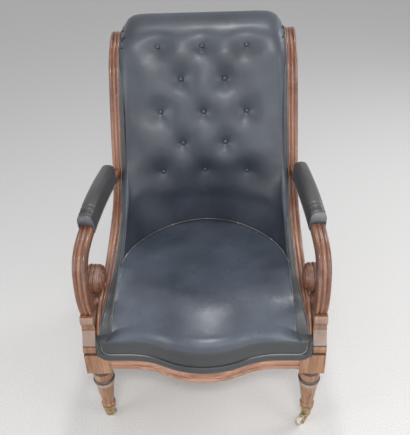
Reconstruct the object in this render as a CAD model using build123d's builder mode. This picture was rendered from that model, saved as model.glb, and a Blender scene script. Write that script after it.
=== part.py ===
from build123d import *

import os
from math import cos, degrees, radians, sin, tan

# A scroll armchair in buttoned leather, after early Victorian library chairs.
# Millimetres: x runs across, y from the front to the back, z up from the floor.
# Heights are given from the floor and depths from the axes of the front legs.
# Left and right are as seen by someone who faces the chair.

os.makedirs("parts", exist_ok=True)

# Common values
leg_axis_x = 274.0
fit = 0.3
overrun = 5.0

# Front leg: a turned leg below a square block, with a moulded half-width post above
block_size = 64.0
block_bottom = 218.0
block_top = 288.0
block_bevel = 5.0
post_width = 33.0
post_low_front = 28.0
post_high_front = 10.0
bead_height = 20.0
bead_gap = 4.0
bead_reach = 4.5
face_height = 38.0
face_hollow = 2.0
cove_height = 18.0
cove_depth = 3.0
cap_height = 24.0
cap_reach = 4.5
bracket_back = 88.0
bracket_hollow = 16.0
foot_height = 71.0
foot_ring_radius = 19.5
ankle_radius = 15.5
calf_radius = 24.5
leg_ring_radius = 29.0
leg_neck_radius = 25.0
foot_tenon_radius = 11.0

# Side frame: one swept band, stile above and rail below, with three reeds on its face
frame_reach = 612.0
frame_height = 938.0
frame_width = 30.0
frame_depth = 38.0
frame_reeds = 3
reed_rise = 3.0
frame_splay = 1.6
frame_foot_set = 22.0
frame_turns_shares = (
    (0.1225, 0.435),
    (0.495, 0.538),
    (0.612, 0.640),
    (0.767, 0.906),
    (0.895, 0.995),
    (1.0, 0.974),
)

# Arm: a reeded C that stands on the post's cap and ends below in a volute
arm_width = 33.0
arm_depth = 28.0
arm_splay = 5.0
arm_reach = 392.0
arm_height = 606.0
arm_toe_set = 3.0
arm_toe_rise = 9.0
arm_turns_shares = ((-0.0357, 0.3238), (-0.0128, 0.6333), (0.102, 0.8848), (0.268, 0.98))
volute_radius = 38.0
volute_depth = 94.0
volute_height = 438.0
boss_radius = 30.0
boss_reach = 11.0
boss_step = 15.0
boss_ring_width = 5.0

# Arm pad
pad_start = 100.0
pad_end = 334.0
pad_nose = 16.0
pad_height = 34.0
pad_wrap = 12.0
pad_skin = 2.2
pad_crown = 9.0

# Seat frame
side_rail_bottom = 222.0
side_rail_height = 66.0
front_rail_bottom = 233.0
front_rail_height = 39.0
front_rail_thickness = 42.0
rail_end_set = 30.0
rail_centre_set = 76.0
serpentine_shoulder = 190.0
rail_groove_radius = 3.2
rail_edge_radius = 7.0
rear_rail_thickness = 36.0
corner_block_leg = 62.0
corner_block_height = 40.0

# Rear legs, with the splice to the side frame as shares of the frame's reach and height
rear_leg_splice_shares = ((0.7386, 0.7463), (0.7075, 0.7463), (0.6422, 0.6397), (0.5752, 0.5384))
rear_leg_waist_height = 500.0
rear_leg_waist_back = 450.0
rear_leg_rail_front = 400.0
rear_leg_rail_back = 466.0
rear_foot_front = 492.0
rear_foot_width = 38.0
rear_axis = rear_foot_front + rear_foot_width / 2

# Seat upholstery
seat_bottom = front_rail_bottom + front_rail_height + fit
border_end_set = 34.0
border_centre_set = 78.0
border_top = 344.0
border_corner_top = 337.0
border_gap = 1.0
border_corner_bottom = 286.0
seat_crown = 406.0
seat_crown_front = 394.0
seat_side_height = 430.0
seam_height = 405.0
seam_gap = 1.2
seam_radius = 234.0
seam_centre = 192.0
well_half_width = 196.0
well_front = 12.0
well_back = 408.0
well_top = 304.0
welt_radius = 3.5
welt_height = 288.0
welt_stand = 4.6
welt_turn = 12.0
welt_inset = 34.0

# Springs, webbing and canvas under the seat
web_thickness = 2.0
web_width = 50.0
web_count = 5
spring_radius = 27.0
spring_wire = 1.9
spring_turns = 5
canvas_thickness = 1.5

# Back upholstery: the outline in the middle and at the sides, as depth and height
back_low_middle = (420.0, 500.0)
back_low_side = (298.0, 494.0)
back_waist_middle = (390.0, 600.0)
back_waist_side = (376.0, 600.0)
back_mid_middle = (421.0, 740.0)
back_mid_side = (429.0, 740.0)
back_shoulder_middle = (457.0, 860.0)
back_shoulder_side = (472.0, 860.0)
roll_front_middle = (492.0, 935.0)
roll_front_side = (502.0, 903.0)
roll_top_middle = (575.0, 981.0)
roll_top_side = (564.0, 922.0)
roll_rear_middle = (634.0, 955.0)
roll_rear_side = (616.0, 911.0)
roll_end_middle = (654.0, 905.0)
roll_end_side = (634.0, 886.0)
roll_under = (590.0, 856.0)
back_rear_top = (506.0, 846.0)
back_rear_mid = (463.0, 720.0)
back_rear_waist = (442.0, 600.0)
back_rear_low = (450.0, seam_height)
back_half_width = 244.0
roll_fullness = 4

# Buttons: rows of three and two, by turns
button_rows = 5
button_top_height = 917.0
button_pitch_x = 120.0
button_pitch_z = 84.0
button_radius = 7.0
button_height = 5.0
tuft_radius = 52.0
tuft_depth = 9.0

# Back frame
crest_height = 44.0
crest_depth = 34.0
crest_centre = (572.0, 892.0)
low_bar_height = 40.0
low_bar_bottom = 345.0
low_bar_depth = 20.0
cover_thickness = 2.5
side_cover_inset = 7.0
side_cover_thickness = 14.0
binding_width = 6.0
binding_thickness = 2.4

# Castors
wheel_radius = 16.0
wheel_width = 12.0
wheel_edge = 2.5
axle_radius = 2.5
axle_clearance = 0.06
axle_head_radius = 4.0
axle_head = 1.5
cheek_thickness = 3.0
cheek_gap = 0.5
cheek_end_radius = 6.0
castor_trail = 20.0
plate_radius = 12.5
plate_thickness = 3.0
plate_gap = 0.35
pintle_radius = 4.0
pintle_clearance = 0.06
pintle_height = 10.0
socket_floor = 12.0
socket_bottom = 37.0
socket_bottom_radius = 12.5
socket_top_radius = 16.5
collar_radius = 18.0
collar_height = 7.0
castor_angles = {
    "front_left": 88.0,
    "front_right": 220.0,
    "rear_left": 80.0,
    "rear_right": 100.0,
}

# Values worked out from the sizes above
nose = border_centre_set + welt_stand + welt_radius
leg_axis_y = nose - (nose + roll_end_middle[0]) / 2
post_inner = leg_axis_x + block_size / 2 - post_width
arm_axis_x = post_inner + post_width / 2
bead_top = block_top + bead_gap + bead_height
face_top = bead_top + bead_gap + face_height
post_top = face_top + cove_height
cap_top = post_top + cap_height
frame_lean = tan(radians(frame_splay))
frame_outer = post_inner - fit - frame_foot_set * frame_lean
frame_axis_x = frame_outer - frame_width / 2
frame_inner = frame_outer - frame_width
pad_width = arm_width + 2 * (pad_skin + fit)
tenon_bottom = socket_bottom + socket_floor + fit
rear_rail_front = back_rear_low[0] - rear_rail_thickness
seat_back_end = back_rear_low[0] - low_bar_depth - fit
border_half_width = post_inner - border_gap


def across(x):
    """Side-view plane at one distance across: local x is depth, local y is height."""
    return Plane(origin=(x, leg_axis_y, 0), x_dir=(0, 1, 0), z_dir=(1, 0, 0))


def level(z):
    """Plan-view plane at one height, with depths from the front leg axes."""
    return Plane(origin=(0, leg_axis_y, z))


def toed_in(x, angle):
    """Side-view plane on the left that leans inward by an angle towards the back."""
    s, c = sin(radians(angle)), cos(radians(angle))
    return Plane(origin=(-x, leg_axis_y, 0), x_dir=(s, c, 0), z_dir=(c, -s, 0))


def foot_level(place, z):
    """Plan-view plane at one height, centred on a foot."""
    return Plane(origin=(place.X, place.Y, z))


frame_plane = toed_in(frame_axis_x, frame_splay)
rear_axis_place = frame_plane.from_local_coords((rear_axis, 0))
front_axis_place = Vector(-leg_axis_x, leg_axis_y, 0)
arm_plane = toed_in(arm_axis_x, arm_splay)


def keep(builder, label):
    """Name a finished piece and write it."""
    builder.part.label = label
    export_step(builder.part, f"parts/{label}.step")


def keep_pair(builder, name):
    """Write a left-hand piece and its right-hand mirror image."""
    keep(builder, f"{name}_left")
    with BuildPart() as other:
        mirror(builder.part, about=Plane.YZ)
    keep(other, f"{name}_right")


def scaled(shares, reach, height):
    """Points of an outline from shares of its reach and height."""
    return [(y * reach, z * height) for y, z in shares]


def tangent_chain(plane, start, points, direction):
    """Arcs through the points, each tangent to the one before."""
    here, heading = plane.from_local_coords(start), direction
    for point in points:
        arc = TangentArc(here, plane.from_local_coords(point), tangent=heading)
        here, heading = arc @ 1, arc % 1


def reeded_outline(width, depth, reeds, rise):
    """Closed outline of a band whose face at y = 0 carries rounded reeds."""
    pitch = width / reeds
    for i in range(reeds):
        left = i * pitch - width / 2
        ThreePointArc((left, rise), (left + pitch / 2, 0), (left + pitch, rise))
    Polyline((width / 2, rise), (width / 2, depth), (-width / 2, depth), (-width / 2, rise))


# Path of the side frame's reeded face, from the front leg's block to the roll at the top
frame_turns = scaled(frame_turns_shares, frame_reach, frame_height)
frame_start = (-frame_foot_set, block_top)
with BuildLine(frame_plane) as frame_path:
    tangent_chain(frame_plane, frame_start, frame_turns, frame_plane.y_dir)

frame_section_plane = Plane(
    origin=frame_path.line @ 0, x_dir=frame_plane.z_dir, z_dir=frame_path.line % 0
)
with BuildPart() as side_frame:
    with BuildSketch(frame_section_plane):
        with BuildLine():
            reeded_outline(frame_width, frame_depth, frame_reeds, reed_rise)
        make_face()
    sweep(path=frame_path.line)
keep_pair(side_frame, "side_frame")

# Room that soft pieces leave around the side frame
with BuildPart() as frame_room:
    with BuildSketch(frame_section_plane):
        with Locations((0, frame_depth / 2)):
            Rectangle(frame_width + 2 * fit, frame_depth + 2 * fit)
        with Locations((frame_width / 2 - binding_width / 2, -binding_thickness / 2)):
            Rectangle(binding_width + 2 * fit, binding_thickness + 2 * fit)
    sweep(path=frame_path.line)

# Leather binding that is nailed along the inner edge of each side frame
with BuildPart() as edge_binding:
    with BuildSketch(frame_section_plane):
        with Locations((frame_width / 2 - binding_width / 2, -fit - binding_thickness / 2)):
            Rectangle(binding_width, binding_thickness)
    sweep(path=frame_path.line)
keep_pair(edge_binding, "edge_binding")

# Front leg
ring_edge = (leg_ring_radius - leg_neck_radius) / 2
ring_pitch = (block_bottom - foot_height) / 12
ring_top = block_bottom - ring_pitch
calf_top = block_bottom - 5 * ring_pitch
with BuildPart() as front_leg:
    with BuildSketch(level(block_bottom)):
        with Locations((-leg_axis_x, 0)):
            Rectangle(block_size, block_size)
    extrude(amount=block_top - block_bottom)
    chamfer(front_leg.faces().sort_by(Axis.Z)[0].edges(), length=block_bevel)
    with BuildSketch(across(-leg_axis_x)):
        with BuildLine():
            Polyline((0, tenon_bottom), (foot_tenon_radius, tenon_bottom))
            Line((foot_tenon_radius, tenon_bottom), (foot_tenon_radius, foot_height))
            Line((foot_tenon_radius, foot_height), (ankle_radius, foot_height))
            ThreePointArc(
                (ankle_radius, foot_height),
                (foot_ring_radius, foot_height + ring_pitch / 2),
                (ankle_radius, foot_height + ring_pitch),
            )
            Line((ankle_radius, foot_height + ring_pitch), (calf_radius, calf_top))
            ThreePointArc(
                (calf_radius, calf_top),
                (calf_radius + ring_edge, calf_top + ring_pitch / 2),
                (calf_radius, calf_top + ring_pitch),
            )
            ThreePointArc(
                (calf_radius, calf_top + ring_pitch),
                (leg_ring_radius, calf_top + 3 * ring_pitch / 2),
                (leg_neck_radius, calf_top + 2 * ring_pitch),
            )
            ThreePointArc(
                (leg_neck_radius, calf_top + 2 * ring_pitch),
                (leg_ring_radius - ring_edge, calf_top + 3 * ring_pitch),
                (leg_neck_radius, ring_top),
            )
            Line((leg_neck_radius, ring_top), (leg_neck_radius, block_bottom + overrun))
            Polyline(
                (leg_neck_radius, block_bottom + overrun),
                (0, block_bottom + overrun),
                (0, tenon_bottom),
            )
        make_face()
    revolve(axis=Axis((-leg_axis_x, leg_axis_y, 0), (0, 0, 1)))
    bead_bottom = block_top + bead_gap
    face_bottom = bead_top + bead_gap
    bead_middle, cove_middle = (bead_bottom + bead_top) / 2, (face_top + post_top) / 2
    face_middle = ((post_low_front + post_high_front) / 2 - face_hollow, (face_bottom + face_top) / 2)
    with BuildSketch(across(-post_inner)):
        with BuildLine():
            Line((block_size / 2, block_top), (-post_low_front, block_top))
            Line((-post_low_front, block_top), (-post_low_front, bead_bottom))
            ThreePointArc(
                (-post_low_front, bead_bottom),
                (-post_low_front - bead_reach, bead_middle),
                (-post_low_front, bead_top),
            )
            Line((-post_low_front, bead_top), (-post_low_front, face_bottom))
            ThreePointArc(
                (-post_low_front, face_bottom),
                (-face_middle[0], face_middle[1]),
                (-post_high_front, face_top),
            )
            ThreePointArc(
                (-post_high_front, face_top),
                (cove_depth - post_high_front, cove_middle),
                (-post_high_front, post_top),
            )
            ThreePointArc(
                (-post_high_front, post_top),
                (-post_high_front - cap_reach, post_top + cap_height / 2),
                (-post_high_front, cap_top),
            )
            Line((-post_high_front, cap_top), (bracket_back, cap_top))
            ThreePointArc(
                (bracket_back, cap_top),
                (block_size / 2 + bracket_hollow, face_middle[1]),
                (block_size / 2, block_top),
            )
        make_face()
    extrude(amount=-post_width)
keep_pair(front_leg, "front_leg")

# Rear leg: a raked leg that meets the underside of the side frame
rear_leg_splice = scaled(rear_leg_splice_shares, frame_reach, frame_height)
rear_leg_throat = rear_leg_splice[-1]
rear_foot_back = rear_foot_front + rear_foot_width
with BuildPart() as rear_leg:
    with BuildSketch(frame_plane):
        with BuildLine():
            Line((rear_foot_front, foot_height), (rear_foot_back, foot_height))
            ThreePointArc(
                (rear_foot_back, foot_height),
                (rear_leg_rail_back, side_rail_bottom + side_rail_height / 2),
                (rear_leg_waist_back, rear_leg_waist_height),
            )
            Polyline((rear_leg_waist_back, rear_leg_waist_height), *rear_leg_splice)
            ThreePointArc(
                rear_leg_throat,
                (rear_leg_rail_front, side_rail_bottom + side_rail_height),
                (rear_foot_front, foot_height),
            )
        make_face()
    extrude(amount=frame_width / 2, both=True)
    add(side_frame.part, mode=Mode.SUBTRACT)
    with BuildSketch(foot_level(rear_axis_place, tenon_bottom)):
        Circle(foot_tenon_radius)
    extrude(amount=foot_height - tenon_bottom)
keep_pair(rear_leg, "rear_leg")

# Arm: the reeded band, its toe and tail, and the volute
arm_turns = [(y, cap_top + z) for y, z in scaled(arm_turns_shares, arm_reach, arm_height - cap_top)]
arm_start = (-arm_toe_set, cap_top)
arm_bulge, arm_rest = arm_turns[0], arm_turns[1:]
arm_end = (arm_reach, arm_height)
with BuildLine(arm_plane) as arm_path:
    toe = ThreePointArc(arm_start, arm_bulge, arm_rest[0])
    tangent_chain(arm_plane, arm_rest[0], arm_rest[1:] + [arm_end], toe % 1)

with BuildPart() as arm:
    with BuildSketch(
        Plane(origin=arm_path.line @ 0, x_dir=arm_plane.z_dir, z_dir=arm_path.line % 0)
    ):
        with BuildLine():
            reeded_outline(arm_width, arm_depth, frame_reeds, reed_rise)
        make_face()
    sweep(path=arm_path.line)
    split(bisect_by=level(cap_top), keep=Keep.TOP)
    with BuildSketch(arm_plane):
        with BuildLine():
            heel = (arm_toe_rise, cap_top)
            heel_top = (arm_toe_rise, cap_top + 2 * arm_toe_rise)
            tail_low = (bracket_back, cap_top)
            tail_top = (volute_depth - volute_radius * cos(radians(30)), cap_top + arm_toe_rise)
            Line(heel, tail_low)
            Line(tail_low, (volute_depth, volute_height))
            Line((volute_depth, volute_height), tail_top)
            ThreePointArc(tail_top, (block_size / 2, cap_top + arm_toe_rise / 2), heel_top)
            Line(heel_top, heel)
        make_face()
        with Locations((volute_depth, volute_height)):
            Circle(volute_radius)
    extrude(amount=arm_width / 2, both=True)
    add(side_frame.part, mode=Mode.SUBTRACT)
    add(rear_leg.part, mode=Mode.SUBTRACT)
keep_pair(arm, "arm")

# Turned boss between the volute and the side frame
with BuildPart() as arm_boss:
    volute_face = arm_plane.offset(arm_width / 2)
    with BuildSketch(volute_face):
        with Locations((volute_depth, volute_height)):
            Circle(boss_radius)
    extrude(amount=boss_ring_width)
    with BuildSketch(volute_face.offset(boss_ring_width)):
        with Locations((volute_depth, volute_height)):
            Circle(boss_radius - boss_step)
    extrude(amount=boss_reach - boss_ring_width)
    add(side_frame.part, mode=Mode.SUBTRACT)
keep_pair(arm_boss, "arm_boss")

# Arm pad: stuffed leather over the arm, wrapped down its two sides
pad_plane = Plane(origin=arm_path.line @ 0, x_dir=arm_plane.z_dir, z_dir=arm_path.line % 0)
pad_front = Plane(origin=arm_plane.from_local_coords((pad_start, 0)), z_dir=arm_plane.x_dir)
pad_back = Plane(origin=arm_plane.from_local_coords((pad_end, 0)), z_dir=arm_plane.x_dir)
pad_slope = Plane(
    origin=arm_plane.from_local_coords((pad_start, arm_height + pad_height - pad_nose)),
    z_dir=arm_plane.x_dir - arm_plane.y_dir,
)
with BuildPart() as arm_pad:
    with BuildSketch(pad_plane):
        with BuildLine():
            Polyline(
                (pad_width / 2, pad_crown - pad_height),
                (pad_width / 2, pad_wrap),
                (arm_width / 2 + fit, pad_wrap),
                (arm_width / 2 + fit, -fit),
                (-arm_width / 2 - fit, -fit),
                (-arm_width / 2 - fit, pad_wrap),
                (-pad_width / 2, pad_wrap),
                (-pad_width / 2, pad_crown - pad_height),
            )
            ThreePointArc(
                (-pad_width / 2, pad_crown - pad_height),
                (0, -pad_height),
                (pad_width / 2, pad_crown - pad_height),
            )
        make_face()
    sweep(path=arm_path.line)
    split(bisect_by=pad_front, keep=Keep.TOP)
    split(bisect_by=pad_slope, keep=Keep.TOP)
    split(bisect_by=pad_back, keep=Keep.BOTTOM)
    add(frame_room.part, mode=Mode.SUBTRACT)
    add(rear_leg.part, mode=Mode.SUBTRACT)
keep_pair(arm_pad, "arm_pad")


def serpentine(ends, middle, half_width):
    """Front line of the seat: straight ends, two hollows and a swell in the middle."""
    turn_x, turn_y = serpentine_shoulder / 2, -(ends + middle) / 2
    Line((-half_width, -ends), (-serpentine_shoulder, -ends))
    TangentArc((-serpentine_shoulder, -ends), (-turn_x, turn_y), tangent=Vector(1, 0))
    TangentArc((0, -middle), (-turn_x, turn_y), tangent=Vector(-1, 0))
    TangentArc((0, -middle), (turn_x, turn_y), tangent=Vector(1, 0))
    TangentArc((serpentine_shoulder, -ends), (turn_x, turn_y), tangent=Vector(-1, 0))
    Line((serpentine_shoulder, -ends), (half_width, -ends))


# Front rail between the two blocks, with two reeds along its face
rail_half = leg_axis_x - block_size / 2
with BuildPart() as front_rail:
    with BuildSketch(level(front_rail_bottom)):
        with BuildLine():
            serpentine(rail_end_set, rail_centre_set, rail_half)
            rail_back = front_rail_thickness - rail_end_set
            Polyline(
                (rail_half, -rail_end_set),
                (rail_half, rail_back),
                (-rail_half, rail_back),
                (-rail_half, -rail_end_set),
            )
        make_face()
    extrude(amount=front_rail_height)
    ahead = leg_axis_y - rail_end_set
    face_edges = front_rail.edges().filter_by(lambda edge: edge.center().Y < ahead + fit)
    fillet(face_edges.filter_by(lambda edge: abs(edge.tangent_at(0).Z) < 1 / 2), rail_edge_radius)
    with BuildLine(level(front_rail_bottom + front_rail_height / 2)) as groove_path:
        serpentine(rail_end_set, rail_centre_set, rail_half)
    with BuildSketch(Plane(origin=groove_path.line @ 0, z_dir=groove_path.line % 0)):
        Circle(rail_groove_radius)
    sweep(path=groove_path.line, mode=Mode.SUBTRACT)
keep(front_rail, "front_rail")

# Side rails from the block to the rear leg, in line with the side frame
with BuildPart() as side_rail:
    with BuildSketch(frame_plane):
        middle = side_rail_bottom + side_rail_height / 2
        with Locations(((block_size / 2 + rear_leg_rail_front) / 2, middle)):
            Rectangle(rear_leg_rail_front - block_size / 2, side_rail_height)
    extrude(amount=frame_width / 2, both=True)
    add(rear_leg.part, mode=Mode.SUBTRACT)
    add(front_leg.part, mode=Mode.SUBTRACT)
keep_pair(side_rail, "side_rail")


inside_left = frame_plane.offset(frame_width / 2 + fit)
inside_right = Plane(
    origin=(-inside_left.origin.X, inside_left.origin.Y, 0),
    z_dir=(-inside_left.z_dir.X, inside_left.z_dir.Y, 0),
)


def trim_between_frames():
    """Cut the current piece back to the space between the side frames."""
    split(bisect_by=inside_left, keep=Keep.TOP)
    split(bisect_by=inside_right, keep=Keep.TOP)


# Rear rail, low back bar and crest rail
with BuildPart() as rear_rail:
    with BuildSketch(level(side_rail_bottom)):
        with Locations((0, rear_rail_front + rear_rail_thickness / 2)):
            Rectangle(2 * back_half_width, rear_rail_thickness)
    extrude(amount=side_rail_height)
    trim_between_frames()
keep(rear_rail, "rear_rail")

with BuildPart() as low_back_bar:
    with BuildSketch(level(low_bar_bottom)):
        with Locations((0, back_rear_low[0] - low_bar_depth / 2)):
            Rectangle(2 * back_half_width, low_bar_depth)
    extrude(amount=low_bar_height)
    trim_between_frames()
keep(low_back_bar, "low_back_bar")

with BuildPart() as crest_rail:
    with BuildSketch(across(-back_half_width)):
        with Locations(crest_centre):
            RectangleRounded(crest_depth, crest_height, crest_depth / 3)
    extrude(amount=2 * back_half_width)
    trim_between_frames()
keep(crest_rail, "crest_rail")


def circle_depth(a, b, c, z):
    """Depth at height z on the circle through three side-view points, near the middle one."""
    (ay, az), (by, bz), (cy, cz) = a, b, c
    d = 2 * (ay * (bz - cz) + by * (cz - az) + cy * (az - bz))
    aa, bb, cc = ay**2 + az**2, by**2 + bz**2, cy**2 + cz**2
    oy = (aa * (bz - cz) + bb * (cz - az) + cc * (az - bz)) / d
    oz = (aa * (cy - by) + bb * (ay - cy) + cc * (by - ay)) / d
    half_chord = ((by - oy) ** 2 + (bz - oz) ** 2 - (z - oz) ** 2) ** 0.5
    return oy + half_chord if by > oy else oy - half_chord


def blend(middle, side, share):
    """A side-view point between its place in the middle and its place at a side."""
    return tuple(m + (e - m) * share**2 for m, e in zip(middle, side))


def back_depth(x, z):
    """Depth of the back upholstery's face at one place across and one height."""
    share = x / back_half_width
    waist = blend(back_waist_middle, back_waist_side, share)
    shoulder = blend(back_shoulder_middle, back_shoulder_side, share)
    if z > shoulder[1]:
        crest = blend(roll_top_middle, roll_top_side, share**roll_fullness)
        front = blend(roll_front_middle, roll_front_side, share**roll_fullness)
        return circle_depth(shoulder, front, crest, z)
    if z > waist[1]:
        return circle_depth(waist, blend(back_mid_middle, back_mid_side, share), shoulder, z)
    seam = (seam_centre + (seam_radius**2 - x**2) ** 0.5, seam_height)
    return circle_depth(seam, blend(back_low_middle, back_low_side, share), waist, z)


def button_plane(x, z):
    """Plane on the back upholstery's face, with its normal pointing out of the leather."""
    step = button_radius
    lean = (back_depth(x, z + step) - back_depth(x, z - step)) / (2 * step)
    place = Vector(x, leg_axis_y + back_depth(x, z), z)
    return Plane(origin=place, x_dir=(1, 0, 0), z_dir=(0, -1, lean))


button_planes = [
    button_plane(place * button_pitch_x, button_top_height - row * button_pitch_z)
    for row in range(button_rows)
    for place in ((-1, 0, 1) if row % 2 == 0 else (-0.5, 0.5))
]


def back_face(share):
    """Side-view outline of the back upholstery, from the middle (0) to a side (1)."""
    x = share * back_half_width
    reach = min(abs(x), seam_radius)
    seam = (seam_centre + (seam_radius**2 - reach**2) ** 0.5, seam_height)
    waist = blend(back_waist_middle, back_waist_side, share)
    shoulder = blend(back_shoulder_middle, back_shoulder_side, share)
    roll_share = share**roll_fullness
    top = blend(roll_top_middle, roll_top_side, roll_share)
    roll_end = blend(roll_end_middle, roll_end_side, roll_share)
    sag = blend(back_low_middle, back_low_side, share)
    with BuildSketch(across(x)) as outline:
        with BuildLine():
            ThreePointArc(seam, sag, waist)
            ThreePointArc(waist, blend(back_mid_middle, back_mid_side, share), shoulder)
            ThreePointArc(shoulder, blend(roll_front_middle, roll_front_side, roll_share), top)
            ThreePointArc(top, blend(roll_rear_middle, roll_rear_side, roll_share), roll_end)
            ThreePointArc(roll_end, roll_under, back_rear_top)
            ThreePointArc(back_rear_top, back_rear_mid, back_rear_waist)
            Polyline(back_rear_waist, back_rear_low, seam)
        make_face()
    return outline.sketch


back_shares = (-1, -0.94, -0.84, -0.68, -0.36, 0, 0.36, 0.68, 0.84, 0.94, 1)
seat_shares = (-1, -0.84, -0.68, -0.52, -0.36, -0.18, 0, 0.18, 0.36, 0.52, 0.68, 0.84, 1)

# Back upholstery, with a dimple at each button
with BuildPart() as back_cushion:
    loft([back_face(share) for share in back_shares])
    trim_between_frames()
    add(crest_rail.part, mode=Mode.SUBTRACT)
    for spot in button_planes:
        with Locations(spot.offset(tuft_radius - tuft_depth).location):
            Sphere(tuft_radius, mode=Mode.SUBTRACT)
keep(back_cushion, "back_cushion")

with BuildPart() as back_buttons:
    for spot in button_planes:
        with BuildSketch(spot.offset(fit - tuft_depth)):
            Circle(button_radius)
        extrude(amount=button_height)
    fillet(back_buttons.edges().filter_by(GeomType.CIRCLE), radius=button_height / 3)
keep(back_buttons, "back_buttons")


def serpentine_depth(x, ends, middle):
    """How far the serpentine line stands ahead of the leg axes at one place across."""
    run, rise = serpentine_shoulder / 2, (middle - ends) / 2
    radius = (run**2 + rise**2) / (2 * rise)
    if abs(x) >= serpentine_shoulder:
        return ends
    if abs(x) > run:
        return ends + radius - (radius**2 - (serpentine_shoulder - abs(x)) ** 2) ** 0.5
    return middle - radius + (radius**2 - x**2) ** 0.5


def seat_face(share):
    """Side-view outline of the seat upholstery, from the middle (0) to a side (1)."""
    x = share * back_half_width
    bend = share**2
    reach = min(abs(x), seam_radius)
    seam_y = seam_centre + (seam_radius**2 - reach**2) ** 0.5
    front = -serpentine_depth(x, border_end_set, border_centre_set)
    corner_top = border_top + (border_corner_top - border_top) * bend
    crown_front = seat_crown_front + (border_corner_top + overrun - seat_crown_front) * bend
    mid = seat_crown + (seat_side_height - seat_crown) * bend**2
    with BuildSketch(across(x)) as outline:
        with BuildLine():
            Line((front, seat_bottom), (front, corner_top))
            ThreePointArc((front, corner_top), (-block_size / 4, crown_front), (block_size, mid - overrun))
            ThreePointArc(
                (block_size, mid - overrun),
                ((block_size + seam_y) / 2, (mid + seam_height) / 2),
                (seam_y, seam_height - seam_gap),
            )
            Polyline(
                (seam_y, seam_height - seam_gap),
                (seat_back_end, seam_height - seam_gap),
                (seat_back_end, seat_bottom),
                (front, seat_bottom),
            )
        make_face()
    return outline.sketch


with BuildPart() as seat_cushion:
    loft([seat_face(share) for share in seat_shares])
    trim_between_frames()
    with BuildSketch(level(seat_bottom)):
        with Locations((0, (well_front + well_back) / 2)):
            Rectangle(2 * well_half_width, well_back - well_front)
    extrude(amount=well_top - seat_bottom, mode=Mode.SUBTRACT)
    add(rear_rail.part, mode=Mode.SUBTRACT)
    corner_back = frame_foot_set + binding_thickness + 2 * fit + frame_width * frame_lean
    with BuildSketch(across(-border_half_width)):
        Polygon(
            (-border_end_set, border_corner_bottom),
            (-border_end_set, border_corner_top),
            (-corner_back, border_corner_top + overrun),
            (-corner_back, block_top + fit),
            (-block_size / 2 - fit, block_top + fit),
            (-block_size / 2 - fit, border_corner_bottom),
            align=None,
        )
    extrude(amount=2 * border_half_width)
    with BuildSketch(level(seat_bottom)):
        for side in (-1, 1):
            with Locations((side * leg_axis_x, 0)):
                Rectangle(block_size + 2 * fit, block_size + 2 * fit)
    extrude(amount=block_top + fit - seat_bottom, mode=Mode.SUBTRACT)
keep(seat_cushion, "seat_cushion")

# Welt along the foot of the border, turned up at the two corners
welt_half = border_half_width - welt_inset
with BuildPart() as seat_welt:
    with BuildLine(level(welt_height)) as welt_path:
        serpentine(border_end_set + welt_stand, border_centre_set + welt_stand, welt_half)
        for side in (-1, 1):
            end = Vector(side * welt_half, leg_axis_y - border_end_set - welt_stand, welt_height)
            corner = end + Vector(side * welt_turn, 0, welt_turn)
            TangentArc(end, corner, tangent=Vector(side, 0, 0))
            Line(corner, corner + Vector(0, 0, welt_turn))
    with BuildSketch(Plane(origin=corner + Vector(0, 0, welt_turn))):
        Circle(welt_radius)
    sweep(path=welt_path.wires()[0])
keep(seat_welt, "seat_welt")

# Blocks glued into the corners of the seat frame
with BuildPart() as corner_blocks:
    front_corner = rail_half, front_rail_thickness - rail_end_set + fit
    rear_corner = rail_half, rear_rail_front
    with BuildSketch(level(seat_bottom - fit - corner_block_height)):
        for side in (-1, 1):
            for (x, y), inward in ((front_corner, 1), (rear_corner, -1)):
                Polygon(
                    (side * x, y),
                    (side * (x - corner_block_leg), y),
                    (side * x, y + inward * corner_block_leg),
                    align=None,
                )
    extrude(amount=corner_block_height)
    trim_between_frames()
keep(corner_blocks, "corner_blocks")

# Webbing: cross straps under the side rails, long straps over them
straps_front = block_size / 2 + fit
cross_pitch = (rear_rail_front - straps_front) / web_count
cross_straps = [straps_front + (i + 0.5) * cross_pitch for i in range(web_count)]
long_front = front_rail_thickness - rail_end_set + fit
long_length = rear_rail_front - long_front - fit
long_pitch = 2 * well_half_width / web_count
web_top = side_rail_bottom + web_thickness
with BuildPart() as seat_webbing:
    with BuildSketch(level(side_rail_bottom - fit - web_thickness)):
        for y in cross_straps:
            with Locations((0, y)):
                Rectangle(2 * (frame_inner + frame_width / 2 - y * frame_lean), web_width)
    extrude(amount=web_thickness)
    with BuildSketch(level(side_rail_bottom)):
        with Locations((0, long_front + long_length / 2)):
            with GridLocations(long_pitch, 1, web_count, 1):
                Rectangle(web_width, long_length)
    extrude(amount=web_thickness)
keep(seat_webbing, "seat_webbing")

# Springs where the straps cross, and the canvas over them
canvas_bottom = well_top - fit - canvas_thickness
spring_rise = canvas_bottom - web_top - 2 * (spring_wire + fit)
spring_foot = web_top + spring_wire + fit
with BuildPart() as seat_springs:
    for x in (-2 * long_pitch, 0, 2 * long_pitch):
        for y in cross_straps[::2]:
            with BuildLine(Plane(origin=(x, leg_axis_y + y, spring_foot))) as coil:
                Helix(spring_rise / spring_turns, spring_rise, spring_radius)
            with BuildSketch(Plane(origin=coil.line @ 0, z_dir=coil.line % 0)):
                Circle(spring_wire)
            sweep(path=coil.line)
keep(seat_springs, "seat_springs")

with BuildPart() as spring_canvas:
    with BuildSketch(level(canvas_bottom)):
        with Locations((0, (well_front + well_back) / 2)):
            Rectangle(2 * (well_half_width - fit), well_back - well_front - 2 * fit)
    extrude(amount=canvas_thickness)
keep(spring_canvas, "spring_canvas")


def moved(point, distance):
    """A side-view point moved towards the back of the chair."""
    return point[0] + distance, point[1]


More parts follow.
